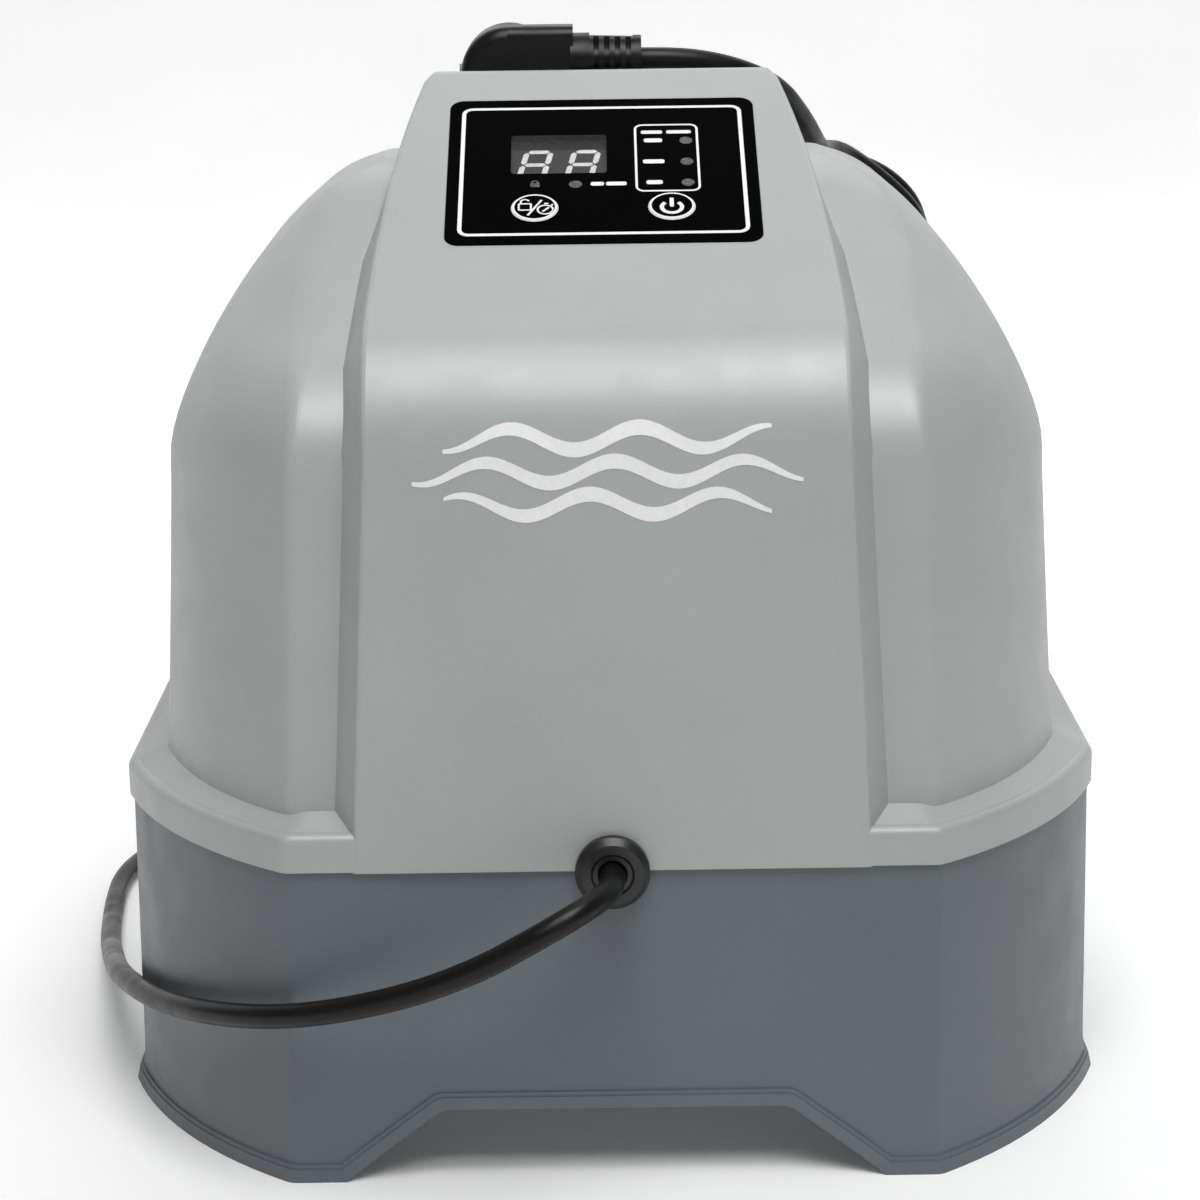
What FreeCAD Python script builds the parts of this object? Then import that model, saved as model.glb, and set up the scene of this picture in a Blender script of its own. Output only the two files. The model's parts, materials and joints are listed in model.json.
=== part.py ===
"""Salt chlorine generator for a pool: a moulded hood on a skirted base, with the control panel on
the hood's slope, the electrolytic cell and its two hose unions in the base, and a mains lead.

Frame: +Z up, the front faces -Y, and the origin is at the bottom centre of the object's box without
the free lead. The hull is symmetric about its own mid plane, which lies hull_mid in front of y = 0
because the hose unions stand out of the rear. All lengths are in millimetres.
"""
import FreeCAD, Part
import math
import os

import Sketcher
from FreeCAD import Placement, Rotation, Vector

doc = FreeCAD.newDocument("salt_chlorine_generator")

# ---------------------------------------------------------------- driving dimensions
SIZES = {
    # hull: eight-sided plan, front flat, curved corner facet, side flat
    "flange_width": 340.0, "hull_depth": 320.0, "front_flat": 214.0, "facet_end": 70.0,
    "facet_bulge": 0.08, "crease_round": 2.0, "wall": 3.0,
    "seam_level": 107.5, "seam_gap": 0.6, "flange_top": 120.6, "shelf_top": 126.0, "flange_round": 3.0,
    "dome_inset": 12.0, "base_inset": 1.5,
    # dome
    "shoulder_level": 235.0, "dome_half_width": 149.5, "dome_rise": 97.0,
    "dome_top": 326.0, "crown_radius": 80.8, "slope_angle": 30.0, "strip_bend": 40.0,
    # central band
    "band_bottom_half": 85.0, "band_knee_half": 77.8, "band_ridge_half": 63.2,
    "band_knee_level": 269.7, "ridge_level": 356.5, "panel_angle": 27.04,
    "band_bend": 45.0, "ridge_round": 9.0, "shelf_level": 332.0, "band_foot": 9.3,
    # base
    "base_flare": 1.8, "flare_level": 14.0, "base_draft": 1.0, "bead_level": 5.5, "bead_out": 1.3,
    "arch_level": 24.6, "arch_top_half": 57.5, "arch_foot_half": 90.0,
    # control panel
    "overlay_width": 106.2, "overlay_length": 88.7, "overlay_thick": 1.2, "overlay_proud": 0.3,
    "button_size": 16.0, "button_gap": 0.15, "button_travel": 0.8, "button_apart": 46.2,
    "button_row": -23.6, "window_width": 33.0, "window_length": 24.0,
    # cell and hose unions
    "cell_bore": 55.0, "cell_size": 63.0, "cell_level": 66.0, "cell_length": 190.0,
    "port_apart": 116.0, "thread_size": 52.0, "running_gap": 0.06, "nut_size": 66.0,
    "tail_size": 32.0, "tail_bore": 26.0, "tail_length": 34.0,
    # lead
    "cord_size": 8.1, "coil_radius": 39.0,
}

sheet = doc.addObject("Spreadsheet::Sheet", "sizes")
for row, (alias, value) in enumerate(SIZES.items(), start=1):
    sheet.set(f"A{row}", alias)
    sheet.set(f"B{row}", str(value))
    sheet.setAlias(f"B{row}", alias)
doc.recompute()
S = {alias: float(sheet.get(alias)) for alias in SIZES}

EPS = 0.01
X, Y, Z = Vector(1, 0, 0), Vector(0, 1, 0), Vector(0, 0, 1)


class Size:
    """A length that knows its value and the text of its spreadsheet expression."""

    def __init__(self, value, text):
        self.value, self.text = value, text

    def _join(self, other, sign, value):
        return Size(value, f"({self.text} {sign} {as_size(other).text})")

    def __add__(self, other):
        return self._join(other, "+", self.value + as_size(other).value)

    def __sub__(self, other):
        return self._join(other, "-", self.value - as_size(other).value)

    def __mul__(self, other):
        return self._join(other, "*", self.value * as_size(other).value)

    def __truediv__(self, other):
        return self._join(other, "/", self.value / as_size(other).value)


def as_size(value):
    """A Size from a Size or a plain number."""
    return value if isinstance(value, Size) else Size(float(value), f"{float(value):.4f}")


def cell(alias):
    """The Size held in one cell of the sheet."""
    return Size(S[alias], f"sizes.{alias}")


# ---------------------------------------------------------------- places
BASE_LIP = S["hull_depth"] / 2 - S["base_inset"] + S["base_draft"] + S["base_flare"] + S["bead_out"]
THREAD_END = S["hull_depth"] / 2 + 14.0     # rear end of the threaded stubs, from the hull's mid plane
PORT_END = THREAD_END + 17.0 + S["tail_length"]
HULL_MID = -(PORT_END - BASE_LIP) / 2       # the hull's mid plane in the row frame
PORT_X = S["port_apart"] / 2


def at(x=0.0, y=0.0, z=0.0, axis=Z, angle=0.0):
    """A placement given from the hull's mid plane."""
    return Placement(Vector(x, y + HULL_MID, z), Rotation(axis, angle))


PANEL_TILT = Rotation(X, S["panel_angle"])
PANEL_Y, PANEL_Z = -51.2, 322.65            # centre of the overlay on the band's slope


def on_panel(u=0.0, v=0.0, w=0.0):
    """A placement on the sloping panel: u across, v up the slope, w out of it."""
    spot = Vector(0, PANEL_Y + HULL_MID, PANEL_Z) + PANEL_TILT.multVec(Vector(u, v, w))
    return Placement(spot, PANEL_TILT)


# ---------------------------------------------------------------- building blocks
NODES = []


def node(obj):
    """Marks a document object as a sub-part that is exported."""
    NODES.append(obj)
    return obj


def feature(label, shape, place=None):
    """A Part::Feature given in hull coordinates."""
    obj = doc.addObject("Part::Feature", label)
    obj.Shape = shape
    obj.Placement = at() if place is None else place
    return obj


def origin_plane(body, role):
    return next(item for item in body.Origin.OriginFeatures if item.Role == role)


def bound(obj, **sizes):
    """Sets lengths and binds each to its expression."""
    for prop, size in sizes.items():
        size = as_size(size)
        setattr(obj, prop, size.value)
        obj.setExpression(prop, size.text)
    return obj


def box(name, length, width, height, place=None, centred=True):
    """A box, centred on its placement in X and Y, with its bottom on it."""
    block = bound(doc.addObject("Part::Box", name), Length=length, Width=width, Height=height)
    shift = Vector(-as_size(length).value / 2, -as_size(width).value / 2, 0) if centred else Vector()
    block.Placement = (at() if place is None else place).multiply(Placement(shift, Rotation()))
    return block


def cylinder(name, size, height, place=None):
    """A cylinder of a given diameter that stands on its placement."""
    rod = bound(doc.addObject("Part::Cylinder", name), Radius=as_size(size) / 2, Height=height)
    rod.Placement = at() if place is None else place
    return rod


def cut(name, base, *tools):
    result = doc.addObject("Part::Cut", name)
    result.Base = base
    result.Tool = tools[0] if len(tools) == 1 else fuse(name + "_tools", *tools)
    return result


def fuse(name, *pieces):
    result = doc.addObject("Part::MultiFuse", name)
    result.Shapes = list(pieces)
    return result


def rounded(name, base, radius, pick):
    """A fillet of the base's edges that pick(edge) accepts."""
    doc.recompute()
    result = doc.addObject("Part::Fillet", name)
    result.Base = base
    result.Edges = [(i, radius, radius) for i, e in enumerate(base.Shape.Edges, 1) if pick(e)]
    return result


def is_upright(edge, axis=Z):
    """True for a straight edge along the axis."""
    return edge.Curve.TypeId == "Part::GeomLine" and abs(edge.Curve.Direction.dot(axis)) > 0.999


def draw_outline(sketch, points):
    """A closed polygon whose corners are held by bound distances from the sketch's origin."""
    flat = [Vector(a.value, b.value, 0) for a, b in points]
    count = len(flat)
    for i in range(count):
        sketch.addGeometry(Part.LineSegment(flat[i], flat[(i + 1) % count]), False)
    for i in range(count):
        sketch.addConstraint(Sketcher.Constraint("Coincident", i, 2, (i + 1) % count, 1))
    for i, pair in enumerate(points):
        for kind, axis, size in (("DistanceX", -2, pair[0]), ("DistanceY", -1, pair[1])):
            if abs(size.value) < 1e-9:
                sketch.addConstraint(Sketcher.Constraint("PointOnObject", i, 1, axis))
                continue
            ends = (-1, 1, i, 1) if size.value > 0 else (i, 1, -1, 1)
            index = sketch.addConstraint(Sketcher.Constraint(kind, *ends, abs(size.value)))
            text = size.text if size.value > 0 else f"0 - {size.text}"
            sketch.setExpression(f"Constraints[{index}]", text)


def new_sketch(body, name, role):
    sketch = body.newObject("Sketcher::SketchObject", name)
    sketch.AttachmentSupport = [(origin_plane(body, role), "")]
    sketch.MapMode = "FlatFace"
    return sketch


def turned(label, outline, place):
    """A turned piece: a PartDesign body whose (radius, along) outline turns about its Z axis."""
    body = doc.addObject("PartDesign::Body", label)
    sketch = new_sketch(body, label + "_outline", "XZ_Plane")
    draw_outline(sketch, [(as_size(r), as_size(along)) for r, along in outline])
    turn = body.newObject("PartDesign::Revolution", label + "_turn")
    turn.Profile = sketch
    turn.ReferenceAxis = (sketch, ["V_Axis"])
    turn.Angle = 360
    body.Tip = turn
    body.Placement = place
    return body


def padded(label, outline, height, place):
    """A PartDesign body that is a polygon in its XY plane raised along Z."""
    body = doc.addObject("PartDesign::Body", label)
    sketch = new_sketch(body, label + "_outline", "XY_Plane")
    draw_outline(sketch, [(as_size(a), as_size(b)) for a, b in outline])
    pad = body.newObject("PartDesign::Pad", label + "_pad")
    pad.Profile = sketch
    bound(pad, Length=height)
    body.Tip = pad
    body.Placement = place
    return body


def copies(label, master, places):
    """Identical solids in one node: the master, which stands at the hull's mid plane, at each place."""
    doc.recompute()
    own = at().inverse().multiply(master.Shape.Placement)
    solids = []
    for place in places:
        solid = master.Shape.copy()
        solid.Placement = place.multiply(own)
        solids.append(solid)
    return feature(label, Part.makeCompound(solids), Placement())


def route_wire(points, radii=None):
    """Straight runs joined by tangent arcs, and the arcs' radii."""
    edges, found, start = [], [], points[0]
    for before, corner, after in zip(points, points[1:], points[2:]):
        into, out = (corner - before), (after - corner)
        turn = into.getAngle(out)
        reach = 0.45 * min(into.Length, out.Length)
        radius = reach / math.tan(turn / 2)
        into, out = Vector(into).normalize(), Vector(out).normalize()
        first, last = corner - into * reach, corner + out * reach
        inward = (out - into).normalize()
        mid = corner + inward * (radius / math.cos(turn / 2) - radius)
        edges += [Part.LineSegment(start, first).toShape(), Part.Arc(first, mid, last).toShape()]
        found.append(radius)
        start = last
    edges.append(Part.LineSegment(start, points[-1]).toShape())
    return Part.Wire(edges), found


def tube(points, size):
    """A round tube along the route; its volume must be its section times its length."""
    wire, radii = route_wire(points)
    direction = points[1] - points[0]
    section = Part.Wire(Part.makeCircle(size / 2, points[0], direction))
    solid = wire.makePipeShell([section], True, False)
    ideal = math.pi * size ** 2 / 4 * wire.Length
    if abs(solid.Volume / ideal - 1) > 0.01:
        raise RuntimeError(f"tube volume {solid.Volume:.0f} is not {ideal:.0f}")
    return solid, radii, wire.Length


# ---------------------------------------------------------------- hull outline
def plan_wire(level, half_front, depth, half_side, facet_end, crease=None, bulge=None):
    """The eight-sided plan at one level: front and rear flats, bulged corner facets, side flats.
    Its creases are rounded with quadratic curves."""
    crease = S["crease_round"] if crease is None else crease
    bulge = S["facet_bulge"] if bulge is None else bulge
    corner, side = Vector(half_front, -depth, 0), Vector(half_side, -facet_end, 0)
    chord = side - corner
    sagitta = bulge * chord.Length
    outward = Vector(chord.y, -chord.x, 0).normalize()
    radius = (chord.Length ** 2 / 4 + sagitta ** 2) / (2 * sagitta)
    centre = (corner + side) / 2 - outward * (radius - sagitta)
    spread = (corner - centre).getAngle(side - centre)

    def on_facet(share):
        return centre + Rotation(Z, math.degrees(spread * share)).multVec(corner - centre)

    near = min(crease / (radius * spread), 0.3)
    far = min(crease, facet_end * 0.6)
    far_share = 1 - min(crease / (radius * spread), 0.3)
    quarter = [
        ("curve", [corner - X * crease, corner, on_facet(near)]),
        ("arc", [on_facet(near), on_facet((near + far_share) / 2), on_facet(far_share)]),
        ("curve", [on_facet(far_share), side, side + Y * far]),
    ]
    mirror_y = [(kind, [Vector(p.x, -p.y, 0) for p in reversed(pts)]) for kind, pts in reversed(quarter)]
    right = quarter + [("line", [quarter[-1][1][-1], mirror_y[0][1][0]])] + mirror_y
    left = [(kind, [Vector(-p.x, p.y, 0) for p in reversed(pts)]) for kind, pts in reversed(right)]
    half = [("line", [Vector(-right[0][1][0].x, -depth, 0), right[0][1][0]])] + right
    rear = [("line", [right[-1][1][-1], left[0][1][0]])]
    edges = []
    for kind, pts in half + rear + left:
        pts = [p + Z * level for p in pts]
        if kind == "line":
            edges.append(Part.LineSegment(*pts).toShape())
        elif kind == "arc":
            edges.append(Part.Arc(*pts).toShape())
        else:
            curve = Part.BezierCurve()
            curve.setPoles(pts)
            edges.append(curve.toShape())
    return Part.Wire(edges)


def hull_plan(level, inset, facet_end=None):
    """The plan of the flange, moved in by an inset (out if negative)."""
    return plan_wire(level, S["front_flat"] / 2 - 0.5 * inset, S["hull_depth"] / 2 - inset,
                     S["flange_width"] / 2 - inset, S["facet_end"] if facet_end is None else facet_end)


def layered(wires, ruled=True):
    return Part.makeLoft(wires, True, ruled)


# ---------------------------------------------------------------- dome
def strip_depth(level):
    """How far the dome's front strip stands from the mid plane at a level: a leaning wall, a round
    bend, a slope and a crown arc."""
    foot = Vector(0, S["hull_depth"] / 2 - S["dome_inset"], S["flange_top"])
    lean = math.radians(2.0)
    slope = math.radians(S["slope_angle"])
    crown_end = S["crown_radius"] * math.sin(slope)
    crown_low = S["dome_top"] - S["crown_radius"] * (1 - math.cos(slope))
    # corner between the wall's line and the slope's line

    def wall_at(z):
        return foot.y - (z - foot.z) * math.tan(lean)

    corner_z = ((crown_low + (crown_end - foot.y - foot.z * math.tan(lean)) * math.tan(slope))
                / (1 - math.tan(lean) * math.tan(slope)))
    corner_y = wall_at(corner_z)
    turn = math.pi / 2 - lean - slope
    reach = S["strip_bend"] * math.tan(turn / 2)
    bend_low, bend_high = corner_z - reach * math.cos(lean), corner_z + reach * math.sin(slope)
    if level <= bend_low:
        return wall_at(level)
    if level <= bend_high:
        centre_y = wall_at(bend_low) - S["strip_bend"] * math.cos(lean)
        centre_z = bend_low - S["strip_bend"] * math.sin(lean)
        return centre_y + math.sqrt(S["strip_bend"] ** 2 - (level - centre_z) ** 2)
    if level <= crown_low:
        return crown_end + (crown_low - level) / math.tan(slope)
    fall = S["dome_top"] - level
    return math.sqrt(fall * (2 * S["crown_radius"] - fall))


def side_reach(level):
    """Half the dome's width at a level: a leaning wall, then a superellipse."""
    base = S["dome_half_width"]
    if level <= S["shoulder_level"]:
        lower = S["flange_width"] / 2 - S["dome_inset"] - 2.0
        share = (level - S["flange_top"]) / (S["shoulder_level"] - S["flange_top"])
        return lower + (base - lower) * share ** 0.8 if share > 0 else lower
    rise = (level - S["shoulder_level"]) / S["dome_rise"]
    return base * (1 - rise ** 1.163) ** (1 / 3.62)


def dome_plan(level, inset):
    """The dome's plan at a level, for a skin inset by the wall (0 for the outside)."""
    outer = level + inset * max(0.0, min(1.0, (level - S["shoulder_level"]) / 60.0))
    depth = strip_depth(outer)
    half_side = side_reach(outer) - inset
    wall_depth = S["hull_depth"] / 2 - S["dome_inset"]
    half_front = 106.0 - 0.034 * (outer - S["flange_top"]) if outer < 254 else 0
    if outer >= 254:
        half_front = 101.4 - 0.066 * (wall_depth - 5 - depth)
    half_front = min(half_front, side_reach(outer) - 3.0) - 0.6 * inset
    facet_end = max(6.0, S["facet_end"] - 0.5 * (wall_depth - 5 - depth))
    crease = 2.4 + 0.12 * max(0.0, wall_depth - 8 - depth)
    return plan_wire(level, half_front, depth - inset, half_side, facet_end, crease)


DOME_LOW, DOME_STEP = 112.0, 11.0
DOME_LEVELS = [DOME_LOW + DOME_STEP * i for i in range(16)] + [287, 296, 303.5, 310, 316, 321, 324]


def dome(inset=0.0):
    """The dome's solid, or the space inside its wall."""
    return layered([dome_plan(z - inset, inset) for z in DOME_LEVELS], ruled=False)


# ---------------------------------------------------------------- band over the dome
def curved(*poles):
    """A Bezier edge through its first and last pole."""
    curve = Part.BezierCurve()
    curve.setPoles(list(poles))
    return curve.toShape()


def leg(first, last, pole_x=None):
    """A straight leg between two path points, or one whose half width bows towards pole_x."""
    if pole_x is None:
        return Part.LineSegment(first, last).toShape()
    return curved(first, Vector(pole_x, (first.y + last.y) / 2, (first.z + last.z) / 2), last)


def bend(before, corner, after, radius):
    """The tangent arc that rounds a corner of a path: its start, its end and its edge. The path's half
    width stays that of the corner."""
    before, after = Vector(corner.x, before.y, before.z), Vector(corner.x, after.y, after.z)
    into, out = corner - before, after - corner
    turn = into.getAngle(out)
    reach = radius * math.tan(turn / 2)
    into, out = Vector(into).normalize(), Vector(out).normalize()
    first, last = corner - into * reach, corner + out * reach
    inward = (out - into).normalize()
    mid = corner + inward * (radius / math.cos(turn / 2) - radius)
    return first, last, Part.Arc(first, mid, last).toShape()


def band_edge(inset=0.0, narrow=None, drop=0.0):
    """The band's right-hand edge from the front seam over the ridge to the rear seam, sunk by an inset
    and narrowed by a distance: its edges and the points between them."""
    narrow = inset if narrow is None else narrow
    front, seam = S["hull_depth"] / 2 + 0.4 - inset, S["seam_level"] - drop
    climb = math.tan(math.radians(S["panel_angle"]))
    knee_half, ridge_half = S["band_knee_half"] - narrow, S["band_ridge_half"] - narrow
    knee = Vector(knee_half, inset - KNEE_OUT, S["band_knee_level"] - 0.6 * inset)
    ridge_z = S["ridge_level"] - 1.6 * inset
    ridge = Vector(ridge_half, knee.y + (ridge_z - knee.z) / climb, ridge_z)
    half_way = Vector(HALF_WAY_HALF - narrow, knee.y + (HALF_WAY_LEVEL - inset - knee.z) / climb,
                      HALF_WAY_LEVEL - inset)
    sunk = Vector(ridge_half - RIDGE_CORNER, ridge.y + RIDGE_FALL, S["shelf_level"] - inset)
    brow = Vector(ridge_half + 2, 66 - inset, S["shelf_level"] - inset)
    rear_knee = Vector(knee_half, -knee.y, knee.z)
    foot = Vector(S["band_bottom_half"] - narrow, -front, seam)
    rear_foot = Vector(foot.x, front, seam)

    knee_start, knee_end, knee_arc = bend(foot, Vector(knee_half + 0.4, knee.y, knee.z), ridge,
                                          S["band_bend"] - inset)
    # the ridge's corner: the half width falls away over its last stretch and on round the ridge
    crest_start, crest_end, _ = bend(half_way, ridge, sunk, S["ridge_round"] - 0.9 * inset)
    along = (crest_start - Vector(ridge_half, half_way.y, half_way.z)).normalize()
    turn_in = crest_start - along * RIDGE_CORNER
    turn_in.x = ridge_half + CORNER_TURN
    crest_start.x, crest_end.x = ridge_half - 0.3 * RIDGE_CORNER, sunk.x
    reach = 0.55 * (crest_end - crest_start).Length / 1.6
    fall = Vector(0, RIDGE_FALL, S["shelf_level"] - S["ridge_level"]).normalize()
    crest = curved(crest_start, crest_start + along * reach - X * 0.4 * RIDGE_CORNER,
                   crest_end - fall * reach, crest_end)
    between = (turn_in + crest_start) / 2
    corner = curved(turn_in, Vector(ridge_half, between.y, between.z), crest_start)
    drop_start, drop_end, drop_arc = bend(ridge, sunk, brow, 5.0 + 0.5 * inset)
    brow_start, brow_end, brow_arc = bend(sunk, brow, rear_knee, 26.0 - inset)
    rear_start, rear_end, rear_arc = bend(brow, rear_knee, rear_foot, S["band_bend"] - inset)
    edges = [leg(foot, knee_start), knee_arc, leg(knee_end, half_way, knee_half),
             leg(half_way, turn_in, BOW_HALF - narrow), corner, crest, leg(crest_end, drop_start), drop_arc,
             leg(drop_end, brow_start), brow_arc, leg(brow_end, rear_start), rear_arc,
             leg(rear_end, rear_foot)]
    spots = [foot, knee_start, knee_end, half_way, turn_in, crest_start, crest_end, drop_start, drop_end,
             brow_start, brow_end, rear_start, rear_end, rear_foot]
    return edges, spots


KNEE_OUT = 154.95                            # the front knee's distance from the mid plane
HALF_WAY_HALF, HALF_WAY_LEVEL, BOW_HALF = 75.3, 308.0, 72.7
RIDGE_CORNER, CORNER_TURN = 4.5, 0.4         # rounding of the ridge's two ends, and its turn inwards
RIDGE_FALL = 5.5                             # how far back the ridge's rear face leans
EDGE_ROUND = 2.0                             # rounding of the band's long edges


def band(inset=0.0):
    """The band as a closed strip: its face, rounded edges, two drafted walls and an underside within the
    dome."""
    if inset:
        chains = [band_edge(inset, drop=15.0)]
    else:
        steps = [math.radians(30 * i) for i in range(4)]
        chains = [band_edge(EDGE_ROUND * (1 - math.cos(a)), EDGE_ROUND * (1 - math.sin(a))) for a in steps]
    spots = chains[0][1]
    under = [
        (-144.4 + inset, spots[0].z), (-strip_depth(spots[1].z) + 4 + inset, spots[1].z),
        (-121.5 + inset, 263.0 - inset), (-70.8 + inset, 290.2 - inset), (-6, 308.5 - inset),
        (0, 309 - inset), (12, 309 - inset), (15, 309 - inset), (22, 309 - inset), (56, 299 - inset),
        (76, 288 - inset), (121.5 - inset, 263.0 - inset),
        (strip_depth(spots[12].z) - 4 - inset, spots[12].z), (144.4 - inset, spots[13].z)]
    outer = chains[-1][1]
    feet = [Vector(p.x + S["band_foot"], y, z) for p, (y, z) in zip(outer, under)]
    lower = [Part.LineSegment(a, b).toShape() for a, b in zip(feet, feet[1:])]
    rows = [edges for edges, _ in chains] + [lower]
    faces = [Part.makeRuledSurface(edge, mirrored(edge)) for edge in rows[0] + lower]
    for upper_row, lower_row in zip(rows, rows[1:]):
        for upper, under_edge in zip(upper_row, lower_row):
            faces += [Part.makeRuledSurface(upper, under_edge),
                      Part.makeRuledSurface(mirrored(upper), mirrored(under_edge))]
    for end in (0, -1):
        half = [chain_spots[end] for _, chain_spots in chains] + [feet[end]]
        ring = half + [Vector(-p.x, p.y, p.z) for p in reversed(half)]
        faces.append(Part.Face(Part.makePolygon(ring + ring[:1])))
    shell = Part.makeShell([f for face in faces for f in face.Faces])
    shell.sewShape()
    solid = Part.makeSolid(shell)
    if solid.Volume < 0:
        solid.reverse()
    return solid


def mirrored(edge):
    return edge.mirror(Vector(), X)


# ---------------------------------------------------------------- hood and base shells
def column(x, y, low, high, size):
    return Part.makeCylinder(size / 2, high - low, Vector(x, y, low), Z)


def facet_point(inward):
    """A point beside the middle of the front right corner facet, a distance in from the flange."""
    corner = Vector(S["front_flat"] / 2, -S["hull_depth"] / 2, 0)
    side = Vector(S["flange_width"] / 2, -S["facet_end"], 0)
    chord = side - corner
    outward = Vector(-chord.y, chord.x, 0).normalize() * -1
    return (corner + side) / 2 + outward * (S["facet_bulge"] * chord.Length - inward)


BOSS_SIZE, SCREW_HOLE = 11.0, 4.4
BOSS_IN = 7.5
corner_boss = facet_point(BOSS_IN)
BOSSES = [(sx * corner_boss.x, sy * corner_boss.y) for sx in (-1, 1) for sy in (-1, 1)]
BOSSES += [(sx * (S["flange_width"] / 2 - BOSS_IN), 0.0) for sx in (-1, 1)]
POSTS = [(sx * 96.0, sy * 96.0) for sx in (-1, 1) for sy in (-1, 1)]
CHASSIS_LEVEL, CHASSIS_THICK = 123.0, 3.0
FLOOR_LEVEL, FLOOR_THICK = 29.0, 3.0
FLOOR_POSTS = [(sx * 97.0, sy * 151.5) for sx in (-1, 1) for sy in (-1, 1)]
GLAND_NECK = 18.4
BOARD_DEPTH = 9.0                            # top of the display board below the slope
BOARD_SCREWS = [(su * 45.0, sv * 36.0) for su in (-1, 1) for sv in (-1, 1)]
OVERLAY_CORNER, RECESS_HIGH = 5.0, 30.0
NUT_ROOM = 28.6                              # clear space round the gland's nut behind the front wall


def panel_solid(length, width, height, u=0.0, v=0.0, w=0.0):
    """A block in panel coordinates, centred on u and v, rising from w."""
    block = Part.makeBox(length, width, height, Vector(u - length / 2, v - width / 2, w))
    block.Placement = Placement(Vector(0, PANEL_Y, PANEL_Z), PANEL_TILT)
    return block


def panel_column(u, v, low, high, size):
    rod = Part.makeCylinder(size / 2, high - low, Vector(u, v, low), Z)
    rod.Placement = Placement(Vector(0, PANEL_Y, PANEL_Z), PANEL_TILT)
    return rod


def hood_shape():
    wall, seam = S["wall"], S["seam_level"] + S["seam_gap"] / 2
    skirt = layered([hull_plan(seam, 0), hull_plan(S["flange_top"], 0)])
    rim = [e for e in skirt.Edges if e.BoundBox.ZMin > S["flange_top"] - EPS]
    skirt = skirt.makeFillet(S["flange_round"], rim)
    shelf = layered([hull_plan(S["flange_top"] - 1.2, 1.2), hull_plan(S["shelf_top"], S["dome_inset"] + 2)])
    outer = skirt.multiFuse([shelf, dome(), band()])
    inner_skirt = layered([hull_plan(seam - 1, wall), hull_plan(S["flange_top"] - wall, wall)])
    inner_shelf = layered([hull_plan(S["flange_top"] - wall - EPS, wall + 2),
                           hull_plan(S["shelf_top"] - wall + 1, S["dome_inset"] + wall + 1)])
    inner = inner_skirt.multiFuse([inner_shelf, dome(wall), band(wall)])
    shell = outer.cut(inner)
    # screw bosses of the base joint, posts of the chassis plate and posts of the display board
    bosses = [column(x, y, S["seam_level"], S["flange_top"] - 0.4, BOSS_SIZE) for x, y in BOSSES]
    posts = [column(x, y, CHASSIS_LEVEL + CHASSIS_THICK, 330, 9.0).common(outer) for x, y in POSTS]
    board_posts = [panel_column(u, v, -BOARD_DEPTH, -1.5, 7.0) for u, v in BOARD_SCREWS]
    shell = shell.multiFuse(bosses + posts + board_posts)
    holes = [column(x, y, S["seam_level"] - 1, S["seam_level"] + 9.5, SCREW_HOLE - 0.3) for x, y in BOSSES]
    holes += [column(x, y, CHASSIS_LEVEL, CHASSIS_LEVEL + 18, 3.1) for x, y in POSTS]
    holes += [panel_column(u, v, -BOARD_DEPTH - 1, -3.0, 2.7) for u, v in BOARD_SCREWS]
    # recess for the overlay, aperture under it and the gland's half hole
    gap = 0.3
    recess_deep = S["overlay_thick"] - S["overlay_proud"]
    recess = panel_solid(S["overlay_width"] + gap, S["overlay_length"] + gap, RECESS_HIGH, w=-recess_deep)
    upright = [e for e in recess.Edges if abs(e.Length - RECESS_HIGH) < EPS]
    aperture = panel_solid(80.0, 65.0, RECESS_HIGH, v=-2.5, w=-20)
    holes += [recess.makeFillet(OVERLAY_CORNER + gap / 2, upright), aperture]
    holes.append(Part.makeCylinder(GLAND_NECK / 2, 30, Vector(0, -175, S["seam_level"]), Y))
    return shell.cut(Part.makeCompound(holes))


def arch_prism(grow=0.0):
    """The space under the front and rear arches, cut right through the hull from front to rear, moved up
    and out by a distance."""
    slope = math.atan2(S["arch_level"], S["arch_foot_half"] - S["arch_top_half"])
    shift = grow * math.tan(slope / 2)
    top, foot = S["arch_top_half"] + shift, S["arch_foot_half"] + shift
    high, low, reach = S["arch_level"] + grow, grow, S["hull_depth"]
    points = [(-foot, low), (-top, high), (top, high), (foot, low), (foot + 1, low - 30),
              (-foot - 1, low - 30)]
    ring = [Vector(x, -reach, z) for x, z in points]
    block = Part.Face(Part.makePolygon(ring + ring[:1])).extrude(Vector(0, 2 * reach, 0))
    top_edges = [e for e in block.Edges if e.BoundBox.ZMin > low - EPS and e.BoundBox.YLength > reach]
    return block.makeFillet(8.0, [e for e in top_edges if e.BoundBox.ZMin > high - EPS])


def base_plan(level, out=0.0):
    """The base's outer plan: a slight draft, and a flare near the floor."""
    draft = S["base_draft"] * (S["seam_level"] - level) / S["seam_level"]
    flare = S["base_flare"] * max(0.0, 1 - level / S["flare_level"]) ** 2
    return hull_plan(level, S["base_inset"] - draft - flare - out)


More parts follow.
